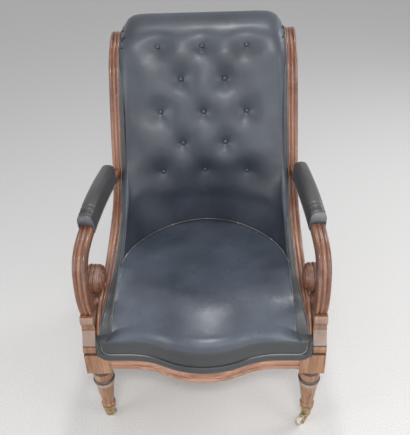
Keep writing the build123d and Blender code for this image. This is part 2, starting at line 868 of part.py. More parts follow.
# Outside back: leather from the roll down to the rear rail
cover_top = back_rear_top[1] - cover_thickness
with BuildPart() as back_cover:
    with BuildSketch(across(-back_half_width)):
        with BuildLine():
            for set_back in (fit, fit + cover_thickness):
                ThreePointArc(
                    moved(back_rear_top, set_back),
                    moved(back_rear_mid, set_back),
                    moved(back_rear_waist, set_back),
                )
                Polyline(
                    moved(back_rear_waist, set_back),
                    moved(back_rear_low, set_back),
                    (back_rear_low[0] + set_back, side_rail_bottom),
                )
            foot = (back_rear_low[0] + fit, side_rail_bottom)
            Line(foot, moved(foot, cover_thickness))
            Line(moved(back_rear_top, fit), moved(back_rear_top, fit + cover_thickness))
        make_face()
    extrude(amount=2 * back_half_width)
    split(bisect_by=Plane.XY.offset(cover_top), keep=Keep.BOTTOM)
    trim_between_frames()
keep(back_cover, "back_cover")

# Outside of the seat: a stuffed leather panel under each side frame
panel_front = block_size / 2 + fit
panel_bottom = side_rail_bottom + side_rail_height + fit
panel_top = [(y, z - frame_depth / 2) for y, z in frame_turns[:2]]
with BuildPart() as side_cover:
    with BuildSketch(frame_plane.offset(side_cover_inset - frame_width / 2)):
        Polygon(
            (rear_leg_rail_front + frame_depth / 2, panel_bottom),
            (panel_front, panel_bottom),
            (panel_front, panel_top[0][1]),
            *panel_top,
            moved(rear_leg_throat, frame_depth / 2),
            align=None,
        )
    extrude(amount=side_cover_thickness)
    for piece in (frame_room, rear_leg):
        add(piece.part, mode=Mode.SUBTRACT)
keep_pair(side_cover, "side_cover")

# Castors: a brass cup on each foot, a swivelling fork with its pintle, an axle and a wheel
castor_places = {
    "front_left": front_axis_place,
    "front_right": Vector(-front_axis_place.X, front_axis_place.Y, 0),
    "rear_left": rear_axis_place,
    "rear_right": Vector(-rear_axis_place.X, rear_axis_place.Y, 0),
}
fork_top = socket_bottom - plate_gap
cheek_inner = wheel_width / 2 + cheek_gap
for corner_name, place in castor_places.items():
    cup_plane = Plane(origin=place, x_dir=(1, 0, 0), z_dir=(0, -1, 0))
    with BuildPart() as socket:
        with BuildSketch(cup_plane):
            with BuildLine():
                Polyline(
                    (pintle_radius + pintle_clearance, socket_bottom),
                    (socket_bottom_radius, socket_bottom),
                    (socket_top_radius, foot_height - collar_height),
                    (collar_radius, foot_height - collar_height),
                    (collar_radius, foot_height),
                    (foot_tenon_radius + fit, foot_height),
                    (foot_tenon_radius + fit, tenon_bottom - fit),
                    (0, tenon_bottom - fit),
                    (0, socket_bottom + pintle_height),
                    (pintle_radius + pintle_clearance, socket_bottom + pintle_height),
                    (pintle_radius + pintle_clearance, socket_bottom),
                )
            make_face()
        revolve(axis=Axis(place, (0, 0, 1)))
    keep(socket, f"socket_{corner_name}")

    angle = radians(castor_angles[corner_name])
    trail_way = Vector(cos(angle), sin(angle), 0)
    castor_side = Plane(origin=place, x_dir=trail_way, z_dir=trail_way.cross(Vector(0, 0, 1)))
    with BuildPart() as fork:
        with BuildSketch(foot_level(place, fork_top - plate_thickness)):
            Circle(plate_radius)
        extrude(amount=plate_thickness)
        with BuildSketch(foot_level(place, fork_top)):
            Circle(pintle_radius)
        extrude(amount=pintle_height)
        for side in (-1, 1):
            with BuildSketch(castor_side.offset(side * (cheek_inner + cheek_thickness / 2))):
                with Locations((castor_trail, wheel_radius)):
                    Circle(cheek_end_radius)
                with Locations((0, fork_top - plate_thickness / 2)):
                    Rectangle(plate_radius, plate_thickness)
                make_hull()
            extrude(amount=cheek_thickness / 2, both=True)
        with BuildSketch(castor_side):
            with Locations((castor_trail, wheel_radius)):
                Circle(axle_radius)
        extrude(amount=2 * cheek_inner, both=True, mode=Mode.SUBTRACT)
    keep(fork, f"fork_{corner_name}")

    with BuildPart() as axle:
        with BuildSketch(castor_side):
            with Locations((castor_trail, wheel_radius)):
                Circle(axle_radius)
        extrude(amount=cheek_inner + cheek_thickness, both=True)
        for side in (-1, 1):
            with BuildSketch(castor_side.offset(side * (cheek_inner + cheek_thickness + axle_head / 2))):
                with Locations((castor_trail, wheel_radius)):
                    Circle(axle_head_radius)
            extrude(amount=axle_head / 2, both=True)
    keep(axle, f"axle_{corner_name}")

    with BuildPart() as wheel:
        with BuildSketch(castor_side):
            with Locations((castor_trail, wheel_radius)):
                Circle(wheel_radius)
        extrude(amount=wheel_width / 2, both=True)
        fillet(wheel.edges().filter_by(GeomType.CIRCLE), radius=wheel_edge)
        with BuildSketch(castor_side):
            with Locations((castor_trail, wheel_radius)):
                Circle(axle_radius + axle_clearance)
        extrude(amount=wheel_width, both=True, mode=Mode.SUBTRACT)
    keep(wheel, f"wheel_{corner_name}")
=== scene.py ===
from math import atan2, cos, dist, pi, radians, sin, sqrt, tan

import bpy
import numpy as np
from mathutils import Matrix, Vector


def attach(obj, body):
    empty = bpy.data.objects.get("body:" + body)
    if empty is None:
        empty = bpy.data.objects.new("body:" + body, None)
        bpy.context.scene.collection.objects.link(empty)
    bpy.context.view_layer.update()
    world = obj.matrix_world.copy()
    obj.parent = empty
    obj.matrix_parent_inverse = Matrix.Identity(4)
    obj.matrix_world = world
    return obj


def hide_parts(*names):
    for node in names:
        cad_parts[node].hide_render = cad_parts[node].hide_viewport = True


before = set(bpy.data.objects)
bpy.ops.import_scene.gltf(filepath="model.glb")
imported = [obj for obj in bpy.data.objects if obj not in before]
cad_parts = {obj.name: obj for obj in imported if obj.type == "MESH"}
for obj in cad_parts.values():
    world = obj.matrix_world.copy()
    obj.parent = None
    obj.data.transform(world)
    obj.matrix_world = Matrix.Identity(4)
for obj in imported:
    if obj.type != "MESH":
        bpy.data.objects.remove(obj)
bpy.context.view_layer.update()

# A scroll armchair in buttoned leather. Metres, x across, y from front to back, z up.
# Side-view points are (depth from the front legs' axes, height) in millimetres.

MM = 0.001

# The chair's own frame and its side planes, as the solids have them
nose, roll_back = 86.1, 654.0
leg_axis_x, leg_axis_y = 274.0, nose - (nose + roll_back) / 2
block_size, post_width = 64.0, 33.0
post_inner = leg_axis_x + block_size / 2 - post_width
frame_width, frame_depth, frame_splay, frame_foot_set = 30.0, 38.0, 1.6, 22.0
frame_lean = tan(radians(frame_splay))
frame_axis_x = post_inner - 0.3 - frame_foot_set * frame_lean - frame_width / 2
frame_inner_x = frame_axis_x - frame_width / 2
arm_width, arm_depth, arm_splay = 33.0, 28.0, 5.0
arm_axis_x = post_inner + post_width / 2
block_top, cap_top = 288.0, 396.0


def side_place(axis_x, splay):
    """Turns (depth, height, inward offset) in a left-hand side plane into a place in metres."""
    s, c = sin(radians(splay)), cos(radians(splay))

    def place(depth, height, inward=0.0):
        x = -axis_x + depth * s + inward * c
        y = leg_axis_y + depth * c - inward * s
        return Vector((x, y, height)) * MM

    return place


frame_place = side_place(frame_axis_x, frame_splay)
arm_place = side_place(arm_axis_x, arm_splay)


def place_at(x, depth, height):
    """A place in metres from a place across, a depth and a height in millimetres."""
    return Vector((x, depth + leg_axis_y, height)) * MM


def narrowed(half_width, depth):
    """Half the width between the side frames, which draw together towards the rear."""
    return half_width - (depth + frame_foot_set) * frame_lean


# Curves in the side view

def circle_of(a, b, c):
    """Centre and radius of the circle through three points."""
    (ax, ay), (bx, by), (cx, cy) = a, b, c
    d = 2 * (ax * (by - cy) + bx * (cy - ay) + cx * (ay - by))
    aa, bb, cc = ax * ax + ay * ay, bx * bx + by * by, cx * cx + cy * cy
    ox = (aa * (by - cy) + bb * (cy - ay) + cc * (ay - by)) / d
    oy = (aa * (cx - bx) + bb * (ax - cx) + cc * (bx - ax)) / d
    return (ox, oy), dist(a, (ox, oy))


def turn_points(centre, radius, start, turn, count):
    """Points on a circle through a turn from a start, without the last."""
    return [(centre[0] + radius * cos(start + turn * i / count),
             centre[1] + radius * sin(start + turn * i / count)) for i in range(count)]


def arc_points(a, b, c, count):
    """Points along the arc from a through b to c, without the last."""
    (ox, oy), r = circle_of(a, b, c)
    start = atan2(a[1] - oy, a[0] - ox)
    via = (atan2(b[1] - oy, b[0] - ox) - start) % (2 * pi)
    turn = (atan2(c[1] - oy, c[0] - ox) - start) % (2 * pi)
    return turn_points((ox, oy), r, start, turn - 2 * pi if via > turn else turn, count)


def line_points(a, b, count):
    """Points along a straight run, without the last."""
    return [(a[0] + (b[0] - a[0]) * i / count, a[1] + (b[1] - a[1]) * i / count)
            for i in range(count)]


def tangent_arcs(start, heading, points, step):
    """Arcs through the points, each tangent to the one before, sampled every step."""
    out = []
    here, (hx, hy) = start, heading
    for there in points:
        dx, dy = there[0] - here[0], there[1] - here[1]
        nx, ny = -hy, hx
        across = dx * nx + dy * ny
        signed = (dx * dx + dy * dy) / (2 * across)
        ox, oy = here[0] + nx * signed, here[1] + ny * signed
        a0 = atan2(here[1] - oy, here[0] - ox)
        a1 = atan2(there[1] - oy, there[0] - ox)
        turn = (a1 - a0) % (2 * pi) if signed > 0 else -((a0 - a1) % (2 * pi))
        count = max(2, round(abs(turn * signed) / step))
        out += turn_points((ox, oy), abs(signed), a0, turn, count)
        grow = 1 if signed > 0 else -1
        hx, hy = -sin(a1) * grow, cos(a1) * grow
        here = there
    return out + [here]


def normals_of(points):
    """Unit normals to the right of the direction of travel."""
    out = []
    for a, b in zip(points[:1] + points, points[1:] + points[-1:]):
        length = dist(a, b)
        out.append(((b[1] - a[1]) / length, (a[0] - b[0]) / length))
    return out


def lengths_of(points):
    """Distance along the points, from the first."""
    out = [0.0]
    for a, b in zip(points, points[1:]):
        out.append(out[-1] + dist(a, b))
    return out


# Meshes

def add_to_scene(name, data):
    made = bpy.data.objects.new(name, data)
    bpy.context.scene.collection.objects.link(made)
    return made


def mesh_piece(name, verts, faces, material, slot, body="root", grain=None):
    """A new smooth piece that rides on a body, with a material by name. Its slot is not used."""
    mesh = bpy.data.meshes.new(name)
    mesh.from_pydata([tuple(v) for v in verts], [], faces)
    mesh.update()
    mesh.polygons.foreach_set("use_smooth", [True] * len(mesh.polygons))
    if grain is not None:
        layer = mesh.attributes.new("grain", "FLOAT_VECTOR", "POINT")
        layer.data.foreach_set("vector", np.array(grain, np.float32).reshape(-1))
    mesh.materials.append(materials[material])
    piece = add_to_scene(name, mesh)
    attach(piece, body)
    return piece


def pair_of_pieces(name, mesh, material, slot, stands_for=()):
    """A left-hand piece and its mirror image. Only wood keeps the grain."""
    verts, faces, grain = mesh
    if slot != "mahogany":
        grain = None
    pieces = []
    for side in ("left", "right"):
        piece = mesh_piece(f"{name}_{side}", verts, faces, material, slot, grain=grain)
        for node in stands_for:
            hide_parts(f"{node}_{side}")
        pieces.append(piece)
        verts = [(-v[0], v[1], v[2]) for v in verts]
        faces = flipped(faces)
    return pieces


def grid_faces(rows, cols, close_rows=False, close_cols=False, first=0):
    """Quads between the points of a grid that is stored row by row."""
    faces = []
    for i in range(rows if close_rows else rows - 1):
        for j in range(cols if close_cols else cols - 1):
            here, ahead = first + i * cols, first + ((i + 1) % rows) * cols
            beside = (j + 1) % cols
            faces.append((here + j, here + beside, ahead + beside, ahead + j))
    return faces


def flipped(faces):
    return [tuple(reversed(f)) for f in faces]


def tube_faces(rings, sides):
    """Faces of a tube that is stored ring by ring, with its two ends."""
    ends = [tuple(reversed(range(sides))), tuple(range((rings - 1) * sides, rings * sides))]
    return grid_faces(rings, sides, close_cols=True) + ends


def thicken(piece, thickness):
    """Gives a panel its thickness, in millimetres, towards its inner side."""
    thick = piece.modifiers.new("thickness", "SOLIDIFY")
    thick.thickness = thickness * MM
    thick.offset = -1


# Materials. The solids bring their own with some of these names, so they are kept here by name.

materials = {}


def new_material(name):
    """The node tree and the shader of a new material."""
    material = materials[name] = bpy.data.materials.new(name)
    material.use_nodes = True
    return material.node_tree, material.node_tree.nodes["Principled BSDF"]


def node(tree, kind, **settings):
    """A shader node of a kind, with its inputs and settings given by name."""
    made = tree.nodes.new("ShaderNode" + kind)
    for key, value in settings.items():
        if key in made.inputs:
            made.inputs[key].default_value = value
        else:
            setattr(made, key, value)
    return made


def node_on(tree, kind, vector, **settings):
    """A node that takes its places from a vector."""
    made = node(tree, kind, **settings)
    tree.links.new(vector, made.inputs["Vector"])
    return made


def plug(tree, value, socket):
    """Links an output to a socket, or sets a number or a colour on it."""
    if isinstance(value, bpy.types.NodeSocket):
        tree.links.new(value, socket)
    else:
        socket.default_value = (*value, 1.0) if isinstance(value, tuple) else value


def dress(tree, shader, values):
    """Links or sets the shader's inputs by name."""
    for name, value in values.items():
        plug(tree, value, shader.inputs[name])


def noise(tree, vector, scale, detail=3.0, rough=0.5, distort=0.0):
    return node_on(tree, "TexNoise", vector, Scale=scale, Detail=detail,
                   Roughness=rough, Distortion=distort).outputs["Fac"]


def ramp(tree, factor, *stops):
    """A colour ramp, from (position, colour) pairs, where a number is a grey."""
    made = node(tree, "ValToRGB")
    elements = made.color_ramp.elements
    while len(elements) < len(stops):
        elements.new(0.5)
    for element, (at, colour) in zip(elements, stops):
        element.position = at
        element.color = (*colour, 1.0) if isinstance(colour, tuple) else (colour,) * 3 + (1.0,)
    tree.links.new(factor, made.inputs["Fac"])
    return made.outputs["Color"]


def mix_colour(tree, factor, a, b, blend="MIX"):
    made = node(tree, "Mix", data_type="RGBA", blend_type=blend)
    for value, index in ((factor, 0), (a, 6), (b, 7)):
        plug(tree, value, made.inputs[index])
    return made.outputs[2]


def maths(tree, operation, a, b=None, clamp=False):
    made = node(tree, "Math", operation=operation, use_clamp=clamp)
    for value, socket in zip((a, b), made.inputs):
        if value is not None:
            plug(tree, value, socket)
    return made.outputs[0]


def bump(tree, height, strength, distance, normal=None):
    made = node(tree, "Bump", Strength=strength, Distance=distance)
    tree.links.new(height, made.inputs["Height"])
    if normal is not None:
        tree.links.new(normal, made.inputs["Normal"])
    return made.outputs["Normal"]


def object_coords(tree):
    return node(tree, "TexCoord").outputs["Object"]


def axes_of(tree, vector):
    """A vector's parts, by the names X, Y and Z."""
    return node_on(tree, "SeparateXYZ", vector).outputs


def leather_material(name, dark, light, shine=0.42, scuffed=0.0):
    """Old glossy hide: mottled colour, a fine grain, soft creases and scuffs."""
    tree, shader = new_material(name)
    coords = object_coords(tree)
    broad = noise(tree, coords, 7.0, detail=4.0, rough=0.55)
    colour = ramp(tree, broad, (0.32, dark), (0.68, light))
    scuff = noise(tree, coords, 55.0, detail=6.0, rough=0.7)
    worn = ramp(tree, scuff, (0.60 - 0.12 * scuffed, 0.0), (0.78, 1.0))
    pale = tuple(min(1.0, v * (2.1 + scuffed) + 0.02 + 0.07 * scuffed) for v in light)
    amount = maths(tree, "MULTIPLY", worn, 0.18 + 0.6 * scuffed)
    gloss = noise(tree, coords, 18.0, detail=5.0, rough=0.6)
    cells = node_on(tree, "TexVoronoi", coords, feature="DISTANCE_TO_EDGE", Scale=520.0)
    pores = ramp(tree, cells.outputs["Distance"], (0.0, 0.0), (0.16, 1.0))
    creases = noise(tree, coords, 60.0, detail=6.0, rough=0.62, distort=0.4)
    dress(tree, shader, {
        "Base Color": mix_colour(tree, amount, colour, pale),
        "Roughness": ramp(tree, gloss, (0.3, shine - 0.07), (0.7, shine + 0.10)),
        "Normal": bump(tree, creases, 0.22, 0.0016, bump(tree, pores, 0.10, 0.0006)),
        "Specular IOR Level": 0.55, "Coat Weight": 0.14, "Coat Roughness": 0.26})


def wood_material(name, dark, mid, light, along="grain", shine=0.30, worn=0.5):
    """Polished wood: figure and darker pores along the piece or an axis, worn pale patches."""
    tree, shader = new_material(name)
    places = object_coords(tree)
    if along == "grain":
        stored = node(tree, "Attribute", attribute_name="grain")
        coords, lengthwise = stored.outputs["Vector"], 0
    else:
        coords, lengthwise = places, "XYZ".index(along)
    fibre, pore = (node_on(tree, "Mapping", coords,
                           Scale=[slow if i == lengthwise else fast for i in range(3)]).outputs["Vector"]
                   for slow, fast in ((5.0, 90.0), (26.0, 900.0)))
    figure = noise(tree, fibre, 1.0, detail=5.0, rough=0.6, distort=0.6)
    colour = ramp(tree, figure, (0.30, dark), (0.52, mid), (0.74, light))
    lines = noise(tree, pore, 1.0, detail=2.0)
    streaks = ramp(tree, lines, (0.36, 0.55), (0.52, 1.0))
    colour = mix_colour(tree, 0.55, colour, streaks, "MULTIPLY")
    patches = noise(tree, places, 24.0, detail=6.0, rough=0.66)
    rubbed = ramp(tree, patches, (0.52, 0.0), (0.72, 1.0))
    dusty = tuple(0.45 * v + 0.13 for v in light)
    dress(tree, shader, {
        "Base Color": mix_colour(tree, maths(tree, "MULTIPLY", rubbed, worn), colour, dusty),
        "Roughness": ramp(tree, patches, (0.35, shine - 0.05), (0.72, shine + 0.22)),
        "Normal": bump(tree, lines, 0.12, 0.0005),
        "Coat Weight": 0.22, "Coat Roughness": 0.18})


def metal_material(name, colour, tarnish, shine):
    tree, shader = new_material(name)
    spots = noise(tree, object_coords(tree), 120.0, detail=5.0, rough=0.6)
    dress(tree, shader, {
        "Base Color": ramp(tree, spots, (0.38, tarnish), (0.62, colour)),
        "Roughness": ramp(tree, spots, (0.3, shine + 0.22), (0.7, shine)),
        "Normal": bump(tree, spots, 0.15, 0.0006),
        "Metallic": 1.0})


def weave_material(name, dark, light, pitch):
    tree, shader = new_material(name)
    coords = object_coords(tree)
    waves = [node_on(tree, "TexWave", coords, bands_direction=direction, Scale=1 / pitch,
                     Distortion=0.8).outputs["Fac"] for direction in ("X", "Y")]
    weave = maths(tree, "MULTIPLY", *waves)
    dress(tree, shader, {
        "Base Color": ramp(tree, weave, (0.1, dark), (0.7, light)),
        "Normal": bump(tree, weave, 0.5, 0.0008),
        "Roughness": 0.9})


def china_material(name, stained, clean):
    tree, shader = new_material(name)
    stain = noise(tree, object_coords(tree), 90.0, detail=4.0)
    dress(tree, shader, {
        "Base Color": ramp(tree, stain, (0.35, stained), (0.6, clean)),
        "Roughness": ramp(tree, stain, (0.35, 0.5), (0.65, 0.25))})


def base_colour_of(name):
    """A material's node tree, its shader's colour input and the output that feeds it."""
    tree = materials[name].node_tree
    socket = tree.nodes["Principled BSDF"].inputs["Base Color"]
    return tree, socket, socket.links[0].from_socket


# Bands of the front leg, as (bottom, top, colour, amount), in millimetres
leg_bands = [
    (168.0, 181.0, (0.030, 0.024, 0.022), 0.88),
    (159.0, 168.0, (0.34, 0.32, 0.30), 0.55),
    (203.0, 213.0, (0.028, 0.018, 0.014), 0.85),
    (287.0, 292.5, (0.05, 0.03, 0.02), 0.75),
    (311.5, 316.5, (0.05, 0.03, 0.02), 0.75),
    (316.5, 353.0, (0.27, 0.225, 0.205), 0.6),
    (353.0, 357.0, (0.05, 0.03, 0.02), 0.6),
    (357.0, 371.0, (0.12, 0.065, 0.042), 0.35),
    (373.0, 395.0, (0.26, 0.215, 0.195), 0.45),
]


def band_leg(name):
    """The front leg's black rings, dark grooves and greyed worn post."""
    tree, socket, shade = base_colour_of(name)
    height = axes_of(tree, object_coords(tree))["Z"]
    for low, high, colour, amount in leg_bands:
        above = maths(tree, "GREATER_THAN", height, low * MM)
        below = maths(tree, "LESS_THAN", height, high * MM)
        inside = maths(tree, "MULTIPLY", above, below)
        shade = mix_colour(tree, maths(tree, "MULTIPLY", inside, amount), shade, colour)
    tree.links.new(shade, socket)


line_wander = 0.07


def darkened_in_middle(name, inside, outside, colour):
    """A material's own colour towards both sides, giving way to another in the middle."""
    tree, socket, plain = base_colour_of(name)
    coords = object_coords(tree)
    wander = maths(tree, "MULTIPLY", noise(tree, coords, 22.0), line_wander)
    sideways = maths(tree, "ADD", maths(tree, "ABSOLUTE", axes_of(tree, coords)["X"]), wander)
    past = maths(tree, "SUBTRACT", sideways, inside + line_wander / 2)
    pale = maths(tree, "DIVIDE", past, outside - inside, clamp=True)
    tree.links.new(mix_colour(tree, pale, colour, plain), socket)


# Each kind's materials, as its function takes them
shades = {
    leather_material: (
        ("leather_hide", (0.017, 0.022, 0.032), (0.037, 0.046, 0.063)),
        # Painted light: the seat's copy of the hide is painted about twice as light as the back's, for
        # the light that falls on the seat
        ("leather_seat_painted_light", (0.035, 0.044, 0.061), (0.074, 0.090, 0.116), 0.30),
        ("leather_pad", (0.036, 0.035, 0.036), (0.070, 0.067, 0.069)),
        ("leather_border", (0.024, 0.026, 0.030), (0.040, 0.042, 0.046), 0.48),
        ("leather_hem", (0.060, 0.064, 0.072), (0.19, 0.195, 0.205), 0.5),
        ("leather_binding", (0.022, 0.025, 0.028), (0.060, 0.064, 0.070), 0.42, 0.6),
        ("line_thread", (0.13, 0.13, 0.13), (0.34, 0.33, 0.31), 0.6),
        ("black_thread", (0.006, 0.006, 0.007), (0.014, 0.014, 0.015), 0.5),
        ("dull_thread", (0.08, 0.08, 0.08), (0.30, 0.29, 0.27), 0.6),
        ("pale_thread", (0.13, 0.12, 0.11), (0.40, 0.37, 0.32), 0.6)),
    wood_material: (
        ("mahogany", (0.060, 0.021, 0.012), (0.190, 0.077, 0.043), (0.385, 0.185, 0.105), "grain",
         0.27),
        ("leg_wood", (0.13, 0.058, 0.028), (0.29, 0.14, 0.070), (0.43, 0.24, 0.13), "Z", 0.34,
         0.35),
        ("rail_wood", (0.16, 0.066, 0.040), (0.36, 0.175, 0.105), (0.54, 0.31, 0.21), "X"),
        ("upright_wood", (0.062, 0.024, 0.015), (0.165, 0.073, 0.045), (0.30, 0.155, 0.10), "Z",
         0.30, 0.25),
        ("beech", (0.20, 0.12, 0.06), (0.33, 0.22, 0.12), (0.45, 0.32, 0.19), "X", 0.55, 0.2),
        ("beech_deep", (0.20, 0.12, 0.06), (0.33, 0.22, 0.12), (0.45, 0.32, 0.19), "Y", 0.55, 0.2)),
    metal_material: (("brass", (0.58, 0.43, 0.24), (0.30, 0.20, 0.10), 0.32),
                     ("steel", (0.42, 0.41, 0.39), (0.20, 0.17, 0.14), 0.38)),
    weave_material: (("jute", (0.20, 0.15, 0.09), (0.48, 0.40, 0.27), 0.012),),
    china_material: (("china", (0.30, 0.24, 0.17), (0.62, 0.58, 0.50)),),
}
for kind, rows in shades.items():
    for row in rows:
        kind(*row)
# Painted shade: the binding is painted near black along its inner edge and all up the back, for the
# shade in the groove between the leather and the frame beside the stile
darkened_in_middle("leather_binding", 0.236, 0.262, (0.012, 0.013, 0.015))
darkened_in_middle("line_thread", 0.10, 0.16, (0.006, 0.006, 0.007))
band_leg("leg_wood")


# Camera, lights and floor

camera_place = Vector((72.7, -1082.5 + leg_axis_y, 1375.0)) * MM
camera_pitch, camera_yaw, camera_roll = 32.64, -3.03, 2.36
camera_focal_px, photo_long_px = 583.9, 435


def make_camera():
    p, y, r = radians(camera_pitch), radians(camera_yaw), radians(camera_roll)
    ahead = Vector((sin(y) * cos(p), cos(y) * cos(p), -sin(p)))
    right = Vector((cos(y), -sin(y), 0.0))
    down = ahead.cross(right)
    right_rolled = right * cos(r) + down * sin(r)
    down_rolled = down * cos(r) - right * sin(r)
    data = bpy.data.cameras.new("camera")
    data.sensor_fit = "AUTO"
    data.sensor_width = 36.0
    data.lens = camera_focal_px / photo_long_px * data.sensor_width
    camera = add_to_scene("camera", data)
    turn = Matrix((right_rolled, -down_rolled, -ahead)).transposed().to_4x4()
    camera.matrix_world = Matrix.Translation(camera_place) @ turn
    bpy.context.scene.camera = camera


# Lamps, as (name, place, target, size, power)
lamps = [
    ("ceiling_front", (0.15, -2.1, 2.5), (0.0, 0.0, 0.4), (0.8, 0.3), 26.0),
    ("ceiling_back", (0.06, 0.13, 2.7), (0.0, 0.0, 0.4), (0.2, 0.16), 12.5),
    ("front", (0.4, -2.8, 1.3), (0.0, 0.0, 0.5), (2.2, 1.4), 18.0),
    ("left", (-2.1, -1.5, 0.8), (0.0, 0.0, 0.5), (1.1, 1.3), 16.0),
    ("right", (2.1, -1.5, 0.8), (0.0, 0.0, 0.5), (1.1, 1.3), 14.0),
    ("right_back", (2.4, 0.9, 1.8), (0.0, 0.1, 0.7), (1.2, 1.2), 24.0),
]
# The world's light, its gains towards the rear and upwards, and how much paler it is shown
world_light, world_rearward, world_upward, world_shown = 0.66, -0.32, -0.12, 0.45
floor_half = 6.0


def make_lamps():
    for name, place, target, size, power in lamps:
        data = bpy.data.lights.new(name, "AREA")
        data.shape = "RECTANGLE"
        data.size, data.size_y = size
        data.energy = power
        turn = (Vector(target) - Vector(place)).to_track_quat("-Z", "Y").to_matrix().to_4x4()
        add_to_scene(name, data).matrix_world = Matrix.Translation(place) @ turn


def make_world():
    world = bpy.data.worlds.new("studio")
    bpy.context.scene.world = world
    world.use_nodes = True
    tree = world.node_tree
    back = tree.nodes["Background"]
    path = node(tree, "LightPath").outputs
    seen = maths(tree, "ADD", path["Is Camera Ray"], path["Is Transmission Ray"])
    seen = maths(tree, "ADD", seen, path["Is Glossy Ray"], clamp=True)
    axes = axes_of(tree, node(tree, "TexCoord").outputs["Generated"])
    rearward, upward = (maths(tree, "MULTIPLY", maths(tree, "MAXIMUM", axes[axis], 0.0), gain)
                        for axis, gain in (("Y", world_rearward), ("Z", world_upward)))
    light = maths(tree, "ADD", maths(tree, "ADD", rearward, upward), world_light)
    shown = maths(tree, "MULTIPLY", seen, world_shown)
    dress(tree, back, {"Strength": maths(tree, "ADD", light, shown), "Color": (0.92, 0.93, 0.95)})


def make_floor():
    mesh = bpy.data.meshes.new("floor")
    corners = [(x * floor_half, y * floor_half, 0) for x, y in ((-1, -1), (1, -1), (1, 1), (-1, 1))]
    mesh.from_pydata(corners, [], [(0, 1, 2, 3)])
    floor = add_to_scene("floor", mesh)
    tree, shader = new_material("floor")
    speckle = noise(tree, object_coords(tree), 300.0, detail=2.0)
    dress(tree, shader, {
        "Base Color": ramp(tree, speckle, (0.35, (0.66, 0.65, 0.64)), (0.65, (0.80, 0.79, 0.78))),
        "Roughness": 0.75})
    mesh.materials.append(materials["floor"])


make_camera()
make_lamps()
make_world()
make_floor()
bpy.context.scene.view_settings.view_transform = "Standard"


# Side frames

frame_reach, frame_rise = 612.0, 938.0
frame_turns = [(y * frame_reach, z * frame_rise) for y, z in
               ((0.1225, 0.435), (0.495, 0.538), (0.612, 0.640), (0.767, 0.906), (0.895, 0.995),
                (1.0, 0.974))]
frame_line = tangent_arcs((-frame_foot_set, block_top), (0.0, 1.0), frame_turns, 6.0)
reed_count, reed_points, reed_gap, reed_corner = 3, 8, 0.04, 2.0


def reeds(width, depth, rise):
    """Closed outline of a reeded band: (across, depth) pairs, reeds first."""
    pitch, right, corner = width / reed_count, width / 2, reed_corner
    outline = []
    for i in range(reed_count):
        for j in range(reed_points):
            t = j / (reed_points - 1)
            across = i * pitch - right + pitch * (reed_gap + (1 - 2 * reed_gap) * t)
            outline.append((across, rise * (1 - sqrt(max(0.0, 1 - (2 * t - 1) ** 2))) ** 0.9))
    outline += [(right, rise + corner), (right, depth - corner), (right - corner, depth),
                (corner - right, depth), (-right, depth - corner), (-right, rise + corner)]
    return outline


def swept(line, place, outline_at, seed=0.0):
    """A closed band along a side-view line: vertices, faces and grain."""
    verts, grain = [], []
    for (y, z), (ny, nz), s in zip(line, normals_of(line), lengths_of(line)):
        for across, depth in outline_at(s, y):
            verts.append(place(y + ny * depth, z + nz * depth, across))
            grain.append((s * MM + seed, across * MM, depth * MM))
    rows = len(line)
    cols = len(verts) // rows
    return verts, flipped(tube_faces(rows, cols)), grain


frame_outline = reeds(frame_width, frame_depth, 3.6)
pair_of_pieces("side_frame_wood", swept(frame_line, frame_place, lambda s, y: frame_outline),
               "mahogany", "mahogany", stands_for=["side_frame"])


# Binding along the frame's inner edge: wide over the front, narrow up the back

binding_outer_at = ((-60.0, 24.0), (-20.0, 22.0), (5.0, 18.0), (27.0, 11.0), (67.0, 6.0),
                    (114.0, 3.0), (180.0, 1.0), (640.0, 0.5))
binding_inner_at = ((-60.0, 11.0), (60.0, 13.0), (120.0, 12.0), (190.0, 11.0), (270.0, 10.5),
                    (640.0, 9.0))
binding_settle = 12.0
cord_radius = 0.8


def along(table, y):
    """A value read from (depth, value) pairs."""
    return float(np.interp(y, *zip(*table)))


def binding_edges(y):
    """Offsets of the binding's outer and inner edges from the frame's middle."""
    edge = frame_width / 2
    return edge - along(binding_outer_at, y), edge + along(binding_inner_at, y)


def binding_outline(s, y):
    """The binding's uneven section: its face from edge to edge, then its underside."""
    outer, inner = binding_edges(y)
    span = inner - outer
    lump = 0.35 * sin(s / 3.1) + 0.3 * sin(s / 1.7 + 1.0) + 0.3 * sin(s / 7.3)
    settle = min(1.0, (s + 1.0) / binding_settle)
    top = [(0.0, -0.4), (0.06, -1.7), (0.14, -2.2 - lump), (0.24, -1.8), (0.36, -1.5),
           (0.5, -1.6 - 0.4 * lump), (0.64, -1.3), (0.76, -1.3), (0.88, -1.5 - lump),
           (0.95, -0.8), (1.0, 0.8)]
    face = [(outer + share * span, depth * settle) for share, depth in top]
    return face[::-1] + [(outer, 1.6), (outer + 1.5, 2.2), (inner - 1.5, 6.0), (inner, 5.4)]


def side_cord(offset_at, depth, sides=7):
    """A thin cord along the frame at an offset that follows the depth."""
    turns = [2 * pi * i / sides for i in range(sides)]
    return swept(frame_line, frame_place,
                 lambda s, y: [(offset_at(y) + cord_radius * sin(a), depth + cord_radius * cos(a))
                               for a in turns])


pair_of_pieces("binding", swept(frame_line, frame_place, binding_outline), "leather_binding",
               "leather_trim", stands_for=["edge_binding"])
pair_of_pieces("binding_cord", side_cord(lambda y: binding_edges(y)[0] - 0.2, -0.6), "dull_thread",
               "leather_trim")
pair_of_pieces("binding_inner_cord", side_cord(lambda y: binding_edges(y)[1] - 0.6, 0.6),
               "dull_thread", "leather_trim")


# Arms: the reeded bow, its tail and the scroll with its boss

arm_reach, arm_height = 392.0, 606.0
arm_rise = arm_height - cap_top
arm_toe = (-3.0, cap_top)
arm_bulge, *arm_rest = [(y * arm_reach, cap_top + z * arm_rise) for y, z in
                        ((-0.0357, 0.3238), (-0.0128, 0.6333), (0.102, 0.8848), (0.268, 0.98))]
volute = (94.0, 438.0)
volute_radius = 38.0


